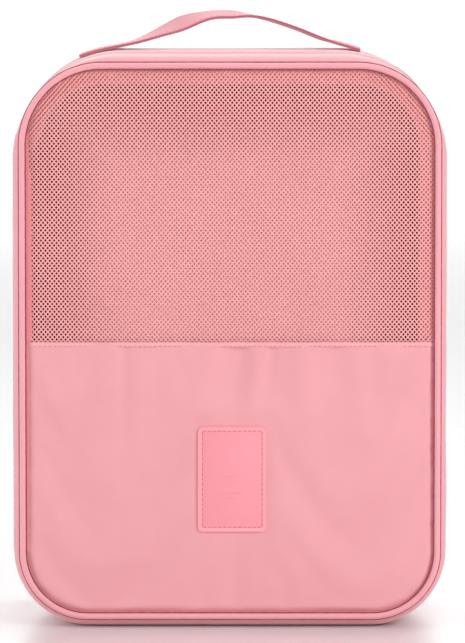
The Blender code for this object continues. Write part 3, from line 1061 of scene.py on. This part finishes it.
def makeBindings():
    # tape sewn over the raw edges inside both seams; the front one shows through the net
    s = bindingSettings
    lidRing = ringFrame(0.0, s["lidInset"], 0.0, True, s["wave"], 1.0)

    def behindNet(u):
        spot, side, out, share = lidRing(u)
        aside = smooth((-spot.x - halfWidth + s["narrowFrom"]) / s["narrowReach"]) * \
            smooth((faceHigh.z - s["narrowBelow"] - spot.z) / s["narrowReach"])
        spot.x -= s["narrowShift"] * aside
        spot.y += windowSurface(spot.x, spot.z) + s["behind"]
        return spot, side, out, share * (1 - s["narrowed"] * aside)

    def overNet(u):
        # the tape down the hinge side; it narrows at its top end and beside the lower panel
        low = faceLow.z + outlineSizes["bottomRadius"]
        z = low + (faceHigh.z - s["edgeTop"] - low) * u
        x = -halfWidth + s["edgeInset"] + 0.3 * mm * noise.noise(Vector((0, 3, z / (11 * mm))))
        share = 1 - 0.5 * smooth((u - 0.85) / 0.15) - 0.42 * smooth((splitZ + 1 * mm - z) / (3 * mm))
        x -= (1 - share) * s["edgeWidth"] / 2
        under = min(windowSurface(x, z), panelFront + faceSwell(x, z) + min(0.0, creaseDepth(x, z)))
        return Vector((x, under - 0.5 * mm, z)), Vector((1, 0, 0)), Vector((0, -1, 0)), share

    shape = bandSolid(overNet, s["edgeLength"], s["edgeWidth"], s["edgeThick"], 150)
    keep("netEdgeTape", shape, bindingTape, "lid")
    shape = bandSolid(behindNet, roundLength, s["lidWidth"], s["thick"], s["columns"], closed=True)
    keep("lidBinding", shape, bindingTape, "lid", nodes=["lid_seam_binding"])
    low, high = boxOf("back_seam_binding")
    ring = ringFrame(0.0, s["backInset"], (low.y + high.y) / 2, True, s["wave"], 2.0)
    shape = bandSolid(ring, roundLength, s["backWidth"], s["thick"], s["columns"], closed=True)
    keep("backBinding", shape, bindingTape, "bag", nodes=["back_seam_binding"])


zipSettings = {"tapeThick": 0.6 * mm, "tapeSink": 1.75 * mm, "toothPitch": 1.3 * mm, "toothThick": 0.95 * mm,
               "toothLength": 1.9 * mm, "toothSink": 0.95 * mm, "toothAside": 0.72 * mm, "wave": 0.08 * mm,
               "columns": 420}


def makeZip(prefix, tapeNode, coilNode, body, way, offset):
    # one zip tape with its row of coil teeth, from one end of the cloth hinge round to the other
    s = zipSettings
    low, high = boxOf(tapeNode)
    frameAt = ringFrame(-s["tapeSink"], 0.0, (low.y + high.y) / 2, False, s["wave"], way * 3.0, zipShare)
    shape = bandSolid(frameAt, zipShare * roundLength, high.y - low.y, s["tapeThick"], s["columns"])
    keep(prefix + "ZipTape", shape, zipCloth, body, nodes=[tapeNode])
    teeth = []
    count = int(zipShare * roundLength / s["toothPitch"])
    y = zipY + way * s["toothAside"]
    for i in range(1, count):
        u = (i + offset) / count * zipShare
        spot, out = outlinePoint(u, -s["toothSink"], 0.0)
        teeth.append(stitch(Vector((spot.x, y, spot.y)), Vector((0, 1, 0)), Vector((out.x, 0, out.y)),
                            s["toothLength"], s["toothThick"]))
    keep(prefix + "ZipCoil", joined(teeth), coilNylon, body, 0, nodes=[coilNode])


hingeSettings = {"thick": 1.0 * mm, "columns": 64, "sides": 26, "stitchPitch": 2.8 * mm,
                 "lapLow": 8.0 * mm, "lapHigh": 19.5 * mm, "topBend": 58 * mm, "straight": 6 * mm,
                 "edgeSink": 0.7 * mm, "hold": 3 * mm, "stitchAside": 1.8 * mm, "stitchSink": 0.42 * mm}


def makeClothHinge():
    # one strip of cloth that joins bag and lid down the left side
    s = hingeSettings
    lidLow, lidHigh = boxOf("hinge_leaf_lid")
    bagHigh = boxOf("hinge_leaf_body")[1]
    width = bagHigh.y - lidLow.y
    # it laps over the ends of the zip tapes
    foot = lidLow.z - s["lapLow"]
    tall = lidHigh.z + s["lapHigh"] - foot

    def place(u, v):
        across, over = softSection(v, 0.8, 0.35)
        z = foot + tall * u
        y = (lidLow.y + bagHigh.y) / 2 + across * width / 2
        edge = smooth((abs(across) - 0.72) / 0.28)
        x = lidLow.x + s["thick"] / 2 + 0.1 * mm + edge * s["edgeSink"]
        x += ripple(0, y, z, 20 * mm, 0.25 * mm, 3.0)
        x += max(0.0, z - lidHigh.z - s["straight"]) ** 2 / (2 * s["topBend"])
        return Vector((x - over * s["thick"] / 2, y, z))

    shape = startGrid(s["columns"], s["sides"], place, (tall, 2 * width))
    piece = keep("clothHinge", closeUp(shape, cap=True), nylon, None, 50)
    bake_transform(piece)
    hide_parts("hinge_leaf_lid", "hinge_leaf_body")
    count = int((tall - 10 * mm) / s["stitchPitch"])
    x, low = lidLow.x + s["stitchSink"], foot + 3 * mm
    for body, y, name in (("lid", lidLow.y + s["stitchAside"], "hingeStitchesLid"),
                          ("bag", bagHigh.y - s["stitchAside"], "hingeStitchesBag")):
        points = [Vector((x, y, low + i * s["stitchPitch"])) for i in range(count)]
        stitchRow(name, points, Vector((-1, 0, 0)), 1.9 * mm, 0.4 * mm, threadFinish, body)


makeBindings()
makeZip("lid", "lid_zip_tape", "lid_zip_coil", "lid", -1, 0.0)
makeZip("body", "body_zip_tape", "body_zip_coil", "bag", 1, 0.5)
makeClothHinge()
print("zip, bindings and cloth hinge sewn")

# sliders and pulls


def softCopy(name, node, width, finish, body):
    # the design's own shape with its edges eased
    shape = bmesh.new()
    shape.from_mesh(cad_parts[node].data)
    for layer in list(shape.loops.layers.uv):
        shape.loops.layers.uv.remove(layer)
    shape.loops.layers.uv.new("UVMap")
    bmesh.ops.remove_doubles(shape, verts=shape.verts, dist=1e-6)
    bmesh.ops.dissolve_limit(shape, angle_limit=math.radians(2), verts=shape.verts, edges=shape.edges)
    hard = [edge for edge in shape.edges if edge.is_manifold and edge.calc_face_angle() > math.radians(25)]
    bmesh.ops.bevel(shape, geom=hard, offset=width, affect="EDGES", segments=3, profile=0.5, material=-1,
                    clamp_overlap=True)
    bmesh.ops.recalc_face_normals(shape, faces=shape.faces)
    keep(name, shape, finish, body, nodes=[node])


easedEdges = {"slider": 0.22 * mm, "link": 0.2 * mm, "tab": 0.3 * mm}
for side in ("Left", "Right"):
    end = side.lower()
    softCopy("slider" + side, "slider_" + end, easedEdges["slider"], enamel, "slider_" + end)
    softCopy("pullLink" + side, "pull_link_" + end, easedEdges["link"], enamel, "pull_" + end)
    softCopy("pullTab" + side, "pull_tab_" + end, easedEdges["tab"], leatherette, "pull_" + end)
print("sliders and pulls finished")

# label

labelSettings = {
    "rim": 2.1 * mm,
    "groove": 0.45 * mm,
    "sink": 0.35 * mm,
    "panelSink": 0.2 * mm,
    "crown": 0.12 * mm,
    "press": 0.05 * mm,
    "cornerRadius": 3.0 * mm,
    "edge": 0.35 * mm,
    "stitchPitch": 2.75 * mm,
    "stitchLength": 1.75 * mm,
    "stitchThick": 0.5 * mm,
    "strokes": [(9.0, 1.6), (5.5, -1.0), (12.5, -7.4), (6.0, -10.2)],  # length and height, in mm
}


def makeLabel():
    # a stitched patch with a raised rim; plain strokes stand for its marks
    s = labelSettings
    low, high = labelCorners
    middle = (low + high) / 2
    back = labelSeat() - s["press"]
    thick = high.y - low.y
    wide, tall = high.x - low.x, high.z - low.z
    shape = bmesh.new()
    shape.loops.layers.uv.new("UVMap")
    bmesh.ops.create_grid(shape, x_segments=1, y_segments=1, size=0.5)
    bmesh.ops.transform(shape, matrix=Matrix(((wide, 0, 0, middle.x), (0, 0, -1, back - thick),
                                              (0, tall, 0, middle.z), (0, 0, 0, 1))), verts=shape.verts)
    bmesh.ops.bevel(shape, geom=shape.verts[:], offset=s["cornerRadius"], affect="VERTICES", segments=7,
                    profile=0.5, material=-1)
    face = shape.faces[:][0]
    if face.normal.y > 0:
        face.normal_flip()
    outer = bmesh.ops.extrude_edge_only(shape, edges=face.edges[:])
    wall = [item for item in outer["geom"] if isinstance(item, bmesh.types.BMVert)]
    bmesh.ops.translate(shape, verts=wall, vec=(0, thick, 0))
    bmesh.ops.holes_fill(shape, edges=[edge for edge in shape.edges if edge.is_boundary], sides=0)
    # eased edge, rim, groove and panel, from the outside in: the width of each step and how far it sinks
    for step, sink in ((s["edge"], -s["crown"]), (s["rim"] - s["edge"], 0.0), (s["groove"] / 2, -s["sink"]),
                       (s["groove"] / 2, s["sink"] - s["panelSink"]), (0.1 * mm, 0.04 * mm)):
        bmesh.ops.inset_region(shape, faces=[face], thickness=step, depth=0.0, use_even_offset=True)
        bmesh.ops.translate(shape, verts=face.verts[:], vec=(0, -sink, 0))
    bmesh.ops.recalc_face_normals(shape, faces=shape.faces)
    piece = keep("labelPatch", shape, leatheretteRim, "lid", 35, nodes=["label_patch"])
    piece.data.materials.append(leatherette)
    border = s["rim"] + s["groove"]
    for polygon in piece.data.polygons:
        spot = polygon.center - middle
        if abs(spot.x) < wide / 2 - border and abs(spot.z) < tall / 2 - border:
            polygon.material_index = 1
    front = back - thick + s["crown"]
    toFront = Vector((0, -1, 0))
    strokes = []
    for length, drop in s["strokes"]:
        place = Vector((middle.x, front + s["panelSink"] - 0.02 * mm, middle.z + drop * mm))
        strokes.append(stitch(place, Vector((1, 0, 0)), toFront, length * mm, s["stitchThick"]))
    keep("labelStrokes", joined(strokes), leatherette, "lid", 0)
    x, z = wide / 2 - s["rim"] - s["groove"] / 2, tall / 2 - s["rim"] - s["groove"] / 2
    y = front + s["sink"] * 0.55
    corners = [middle + Vector((a, 0, b)) for a, b in ((-x, -z), (x, -z), (x, z), (-x, z))]
    rows = []
    for corner, after in zip(corners, corners[1:] + corners[:1]):
        count = round((after - corner).length / s["stitchPitch"])
        for k in range(count):
            place = corner.lerp(after, (k + 0.5) / count)
            rows.append(stitch(Vector((place.x, y, place.z)), (after - corner).normalized(), toFront,
                               s["stitchLength"], s["stitchThick"]))
    # the stitches' darker colour is partly painted shade of the groove
    keep("labelStitches", joined(rows), threadDeepAndShaded, "lid", 0)


makeLabel()
print("label stitched on")

# inside of the lid

pocketSettings = {
    "columns": 120,
    "rows": 110,
    "inset": 4.9 * mm,
    "cornerShare": 0.22,
    "thick": 0.5 * mm,
    "gap": 0.95 * mm,
    "depth": 11.0 * mm,
    "reach": 50 * mm,
    "fold": 2.2 * mm,
    "foldPitch": 24 * mm,
    "gather": 0.8 * mm,
    "gatherPitch": 4.5 * mm,
    "gatherReach": 25 * mm,
    "elasticThick": 1.6 * mm,
    "raise": 5.5 * mm,
    "clear": 1.0 * mm,
    # painted shade: where the pocket cloth darkens, across and up
    "sideShadeFade": (55 * mm, 100 * mm),
    "topShadeFade": (246 * mm, 287 * mm),
}
liningSettings = {"columns": 70, "rows": 50, "inset": 4.9 * mm, "thick": 0.4 * mm, "behind": 1.5 * mm}
pocketHemLow, pocketTop = [corner.z + pocketSettings["raise"] for corner in boxOf("pocket_elastic")]


def liningY(x, z):
    # the lower panel's thin lining follows the panel's back
    inside = edgeDistance(x, z, faceSettings["inset"])
    fold = creaseDepth(x, z) + settled(panelSpot(x, z)) * smooth(inside / lowerSettings["settleReach"])
    return panelFront + faceSwell(x, z) + fold * (1 - labelMask(x, z)) + liningSettings["behind"]


def pocketY(x, z):
    # the slip pocket's cloth is pushed forward in the middle, up to the net, and hangs back at its edges
    s = pocketSettings
    inside = max(0.0, edgeDistance(x, z, 4.5 * mm))
    upper = smooth((pocketTop + 6 * mm - z) / s["reach"])
    wide = s["reach"] * (0.8 + 0.35 * smooth(0.5 + x / 0.16))
    near = min(smooth(inside / wide), upper)
    folds = ripple(x, 0.9, z, s["foldPitch"], s["fold"], 9.0) * (1 - near * 0.75)
    gather = noise.noise(Vector((x / s["gatherPitch"], 0.0, z / 0.05))) * s["gather"]
    hem = smooth((z - pocketHemLow + s["gatherReach"]) / s["gatherReach"])
    y = windowSurface(x, z) + s["gap"] + (s["depth"] + folds + gather * hem) * (1 - near)
    # below the window it stays behind the lower panel's lining
    behind = smooth((splitZ + 10 * mm - z) / (8 * mm))
    return y + behind * max(0.0, liningY(x, z) + s["clear"] - y)


def edgeShadedPocketFinish(name, colour, deep):
    # lining cloth with painted shade: its colour darkens towards its sides and its top, where the space behind the net
    # is deep
    finish = clothFinish(name, colour, 0.4, 0.04, roughness=0.7, sheen=0.1, tone=0.1)
    tree = finish.node_tree
    colourIn = tree.nodes["Principled BSDF"].inputs["Base Color"]
    place = tree.nodes.new("ShaderNodeTexCoord").outputs["Object"]
    parts = addNode(tree, "SeparateXYZ", {0: place}).outputs
    masks = []
    for value, (start, end) in ((mathNode(tree, "ABSOLUTE", parts["X"]), pocketSettings["sideShadeFade"]),
                                (parts["Z"], pocketSettings["topShadeFade"])):
        spread = addNode(tree, "MapRange", {"Value": value, "From Min": start, "From Max": end},
                         interpolation_type="SMOOTHSTEP")
        masks.append(spread.outputs["Result"])
    # painted shade: the colour is mixed towards the deep colour by the masks
    unshadedColour = colourIn.links[0].from_socket
    tree.links.new(colourMix(tree, mathNode(tree, "MAXIMUM", *masks), unshadedColour, tint(*deep)), colourIn)
    return finish


# each second colour is the painted shade at the cloth's edges
pocketCloth = edgeShadedPocketFinish("pocketCloth", (254, 196, 197), (178, 32, 38))
elasticCloth = edgeShadedPocketFinish("elasticCloth", (232, 120, 124), (172, 30, 36))


def makePocket():
    s = pocketSettings
    inset = s["inset"]

    def sideReach(z):
        # half the width inside the rounded top corners at a height
        top = outlineSizes["topRadius"] - inset
        over = max(0.0, z - (faceHigh.z - inset - top))
        return halfWidth - inset - top + math.sqrt(max(0.0, top * top - over * over))

    def place(u, v):
        # rows run from the rounded bottom up to the elastic
        radius = outlineSizes["bottomRadius"] - inset
        low = faceLow.z + inset
        share = s["cornerShare"]
        if v < share:
            angle = v / share * math.pi / 2
            z = low + radius * (1 - math.cos(angle))
            half = halfWidth - inset - radius + radius * math.sin(angle)
        else:
            z = low + radius + (v - share) / (1 - share) * (pocketTop - low - radius)
            half = sideReach(z)
        x = (2 * u - 1) * half
        return Vector((x, pocketY(x, z), z))

    shape = clothSheet(s["columns"], s["rows"], place, s["thick"])
    piece = keep("pocketPanel", shape, pocketCloth, "lid", 60, nodes=["lid_pocket_panel"])
    low, high = boxOf("lid_pocket_panel")

    def hemFrame(u):
        z = (pocketHemLow + pocketTop) / 2
        x = (2 * u - 1) * (sideReach(pocketTop) - 1.5 * mm)
        share = 1.0 + 0.04 * noise.noise(Vector((x / 0.006, 1, 1)))
        return Vector((x, pocketY(x, z) + 0.2 * mm, z)), Vector((0, 0, 1)), Vector((0, -1, 0)), share

    low, high = boxOf("pocket_elastic")
    shape = bandSolid(hemFrame, high.x - low.x, high.z - low.z, s["elasticThick"], 260)
    keep("pocketElastic", shape, elasticCloth, "lid", 60, nodes=["pocket_elastic"])


def makeLowerLining():
    # the thin lining behind the lower panel
    s = liningSettings

    def place(u, v):
        x, z = panelPoint(u, v, s["inset"], False)
        return Vector((x, liningY(x, z), z))

    shape = clothSheet(s["columns"], s["rows"], place, s["thick"])
    piece = keep("lowerPanelLining", shape, liningCloth, "lid", 60, nodes=["lower_panel_lining"])


makePocket()
makeLowerLining()
print("slip pocket and lining sewn")

# back

backSettings = {
    "panel": {"inset": 3.0 * mm, "dip": 1.8 * mm, "thick": 0.9 * mm, "swell": 1.0 * mm, "wrinkle": 0.9 * mm},
    "lining": {"inset": 5.2 * mm, "dip": 0.0, "thick": 0.5 * mm, "swell": 0.4 * mm, "wrinkle": 0.5 * mm},
    "foam": {"inset": 5.4 * mm, "gap": 0.3 * mm, "spare": 0.8 * mm},
    "columns": 110,
    "rows": 150,
    "dipReach": 5 * mm,
    "gather": 0.3 * mm,
    "gatherPitch": 6 * mm,
    "gatherReach": 9 * mm,
    "wrinklePitch": 45 * mm,
}


def backSheet(name, node, layer, finish, seed, outward):
    # one layer of the back, dipped into its seam and a little uneven
    low, high = boxOf(node)
    s = backSettings
    own = s[layer]

    def place(u, v):
        x, z = facePoint(u, v, own["inset"])
        inside = edgeDistance(x, z, own["inset"])
        dip = (1 - smooth(inside / s["dipReach"])) * own["dip"]
        gather = noise.noise(Vector((x / s["gatherPitch"], z / s["gatherPitch"], seed))) * s["gather"]
        gather *= max(0.0, 1 - inside / s["gatherReach"])
        slack = ripple(x, seed, z, s["wrinklePitch"], own["wrinkle"], seed) * smooth(inside / (20 * mm))
        y = high.y if outward > 0 else low.y
        return Vector((x, y + outward * (own["swell"] * smooth(inside / (50 * mm)) - dip + gather + slack), z))

    shape = clothSheet(s["columns"], s["rows"], place, own["thick"], outward)
    return keep(name, shape, finish, "bag", 60, nodes=[node])


def makeBack():
    low, high = boxOf("back_panel")
    panel = backSheet("backPanel", "back_panel", "panel", nylon, 4.0, 1)
    low, high = boxOf("back_lining")
    lining = backSheet("backLining", "back_lining", "lining", liningCloth, 7.0, -1)
    low, high = boxOf("back_foam")
    s = backSettings["foam"]

    def place(u, v):
        x, z = facePoint(u, v, s["inset"])
        return Vector((x, high.y - s["gap"], z))

    shape = clothSheet(60, 80, place, high.y - low.y - s["spare"], 1)
    piece = keep("backFoam", shape, foamCells, "bag", 60, nodes=["back_foam"])


makeBack()
print("back sewn")

# handle

handleSettings = {
    "width": 25 * mm,
    "layer": 0.92 * mm,
    "split": 0.95 * mm,
    "leftEnd": -82.5 * mm,
    "rightEnd": 71.5 * mm,
    "peak": 1 * mm,
    "rise": 18.0 * mm,
    "leftFlat": 0.06,
    "leftFoot": 0.84,
    "rightPower": 1.65,
    "roll": 6.0,
    "twist": 9.0,
    "rightRoll": -3.0,
    # along the strap: where a roll starts, over what length it grows, where it ends, over what length it fades
    "leftSpan": (-58 * mm, 20 * mm, 12 * mm, 12 * mm),
    "rightSpan": (4 * mm, 20 * mm, 62 * mm, 14 * mm),
    "twistPlace": -26 * mm,
    "twistReach": 11 * mm,
    "wave": 0.25 * mm,
    "wavePitch": 0.014,
    "seat": 0.15 * mm,
    "columns": 80,
    "stitchInset": 2.3 * mm,
    "stitchPitch": 3.0 * mm,
    "stitchLength": 2.0 * mm,
    "stitchThick": 0.3 * mm,
    "stitchSink": 0.05 * mm,
    "boxStart": 2.5 * mm,
    "boxLength": 13 * mm,
    "boxInset": 1.2 * mm,
    "boxPitch": 2.2 * mm,
    "boxStitch": (1.6 * mm, 0.34 * mm),
    "leftHold": (20 * mm, -26 * mm),  # where the left end lets go of the bag, and where it is all handle
    "rightHold": (28 * mm, 17 * mm),
}
strapY = (boxOf("handle_end_left")[0].y + boxOf("handle_end_right")[1].y) / 2


def crestZ(x):
    # height of the bag's top line
    top, bottom, half, low, high = outlineParts(outlineSizes["crown"], 0.0)
    over = max(0.0, abs(x) - (half - top))
    return high - top + math.sqrt(top * top - over * over)


def spanShare(x, span):
    # one within a span, fading out at both ends
    start, growth, end, fade = span
    return smooth((x - start) / growth) * smooth((end - x) / fade)


def strapFrame(x, lift):
    # middle of the strap at x, its side way and its thickness way; lift is the layer's height in the strap
    s = handleSettings

    def middle(at):
        if at < s["peak"]:
            t = (s["peak"] - at) / (s["peak"] - s["leftEnd"])
            arch = 1 - smooth((t - s["leftFlat"]) / (s["leftFoot"] - s["leftFlat"]))
        else:
            t = min(1.0, (at - s["peak"]) / (s["rightEnd"] - s["peak"]))
            arch = math.cos(math.pi / 2 * t) ** s["rightPower"]
        return Vector((at, strapY, crestZ(at) + s["seat"] + s["rise"] * arch))

    centre = middle(x)
    along = (middle(x + 0.5 * mm) - middle(x - 0.5 * mm)).normalized()
    twist = math.exp(-((x - s["twistPlace"]) / s["twistReach"]) ** 2)
    roll = math.radians(s["roll"] * spanShare(x, s["leftSpan"]) + s["twist"] * twist
                        + s["rightRoll"] * spanShare(x, s["rightSpan"]))
    side = Vector((0, 1, 0))
    out = along.cross(side).normalized()
    if out.z < 0:
        out = -out
    side, out = side * math.cos(roll) + out * math.sin(roll), out * math.cos(roll) - side * math.sin(roll)
    wave = s["wave"] * noise.noise(Vector((x / s["wavePitch"], 1.0, 2.0)))
    return centre + out * (lift + wave), side, out, along


def strapBlend(piece, left):
    # bakes the piece's placement into its mesh; the sewn end and the free middle are treated alike
    if left:
        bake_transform(piece)
    else:
        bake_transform(piece)


def strapLayer(name, ends, lift, left, nodes):
    s = handleSettings
    start, end = ends

    def frameAt(u):
        centre, side, out, along = strapFrame(start + (end - start) * u, lift)
        return centre, side, out, 1.0

    shape = bandSolid(frameAt, abs(end - start), s["width"], s["layer"], s["columns"], 20, 0.3)
    piece = keep(name, shape, webbingNylon, None, 60)
    piece.data.materials.append(webbingShadedSides)
    outer = s["leftEnd"] if left else s["rightEnd"]
    # painted shade: faces turned sideways and the outer end get the darker strap colour
    for polygon in piece.data.polygons:
        if abs(polygon.normal.y) > 0.55 or abs(polygon.center.x - outer) < 1e-5:
            polygon.material_index = 1
    strapBlend(piece, left)
    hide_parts(*nodes)


def makeHandle():
    s = handleSettings
    low = s["layer"] / 2
    high = low + s["split"]
    for side, left in (("Left", True), ("Right", False)):
        ends = (s["leftEnd"], s["peak"]) if left else (s["peak"], s["rightEnd"])
        sewnEnd = "handle_end_" + side.lower()
        strapLayer("handleUnder" + side, ends, low, left, ["handle_backing", sewnEnd])
        strapLayer("handleTop" + side, ends, high, left, ["handle_strap", sewnEnd])
        stitches = []
        count = int(abs(ends[1] - ends[0]) / s["stitchPitch"])
        for edge in (-1, 1):
            for i in range(count):
                x = ends[0] + (ends[1] - ends[0]) * (i + 0.5) / count
                centre, way, out, along = strapFrame(x, high + s["layer"] / 2)
                place = centre + way * edge * (s["width"] / 2 - s["stitchInset"])
                stitches.append(stitch(place - out * s["stitchSink"], along, out, s["stitchLength"], s["stitchThick"]))
        outer = ends[0] if left else ends[1]
        inward = 1 if left else -1
        # the box of stitches that holds each end down, with its crossing rows
        boxStart = outer + inward * s["boxStart"]
        boxEnd = boxStart + inward * s["boxLength"]
        half = s["width"] / 2 - s["stitchInset"] - s["boxInset"]
        corners = [(boxStart, -half), (boxEnd, half), (boxEnd, -half), (boxStart, half), (boxStart, -half)]
        for (x0, a0), (x1, a1) in zip(corners, corners[1:]):
            span = math.hypot(x1 - x0, a1 - a0)
            steps = max(2, round(span / s["boxPitch"]))
            for k in range(steps):
                t = (k + 0.5) / steps
                x, across = x0 + (x1 - x0) * t, a0 + (a1 - a0) * t
                centre, way, out, along = strapFrame(x, high + s["layer"] / 2)
                aim = (along * (x1 - x0) + way * (a1 - a0)).normalized()
                stitches.append(stitch(centre + way * across, aim, out, *s["boxStitch"]))
        strapBlend(keep("handleStitches" + side, joined(stitches), threadDark, None, 0), left)


patchSettings = {"length": 20 * mm, "width": 21 * mm, "thick": 0.5 * mm, "end": 3 * mm}


def makePatches():
    # a patch of doubled nylon under each sewn end
    s = patchSettings
    for side, outer, inward in (("Left", handleSettings["leftEnd"] + s["end"], 1),
                                ("Right", handleSettings["rightEnd"] - s["end"], -1)):
        def frameAt(u):
            x = outer + inward * s["length"] * u
            slope = Vector((0.5 * mm, 0, crestZ(x + 0.25 * mm) - crestZ(x - 0.25 * mm))).normalized()
            out = Vector((-slope.z, 0, slope.x))
            return Vector((x, strapY, crestZ(x))) - out * 0.05 * mm, Vector((0, 1, 0)), out, 1.0

        shape = bandSolid(frameAt, s["length"], s["width"], s["thick"], 24)
        keep("handlePatch" + side, shape, nylon, "bag", 60, nodes=["handle_patch_" + side.lower()])


makeHandle()
makePatches()
print("handle sewn on")

# close

print("script finished")
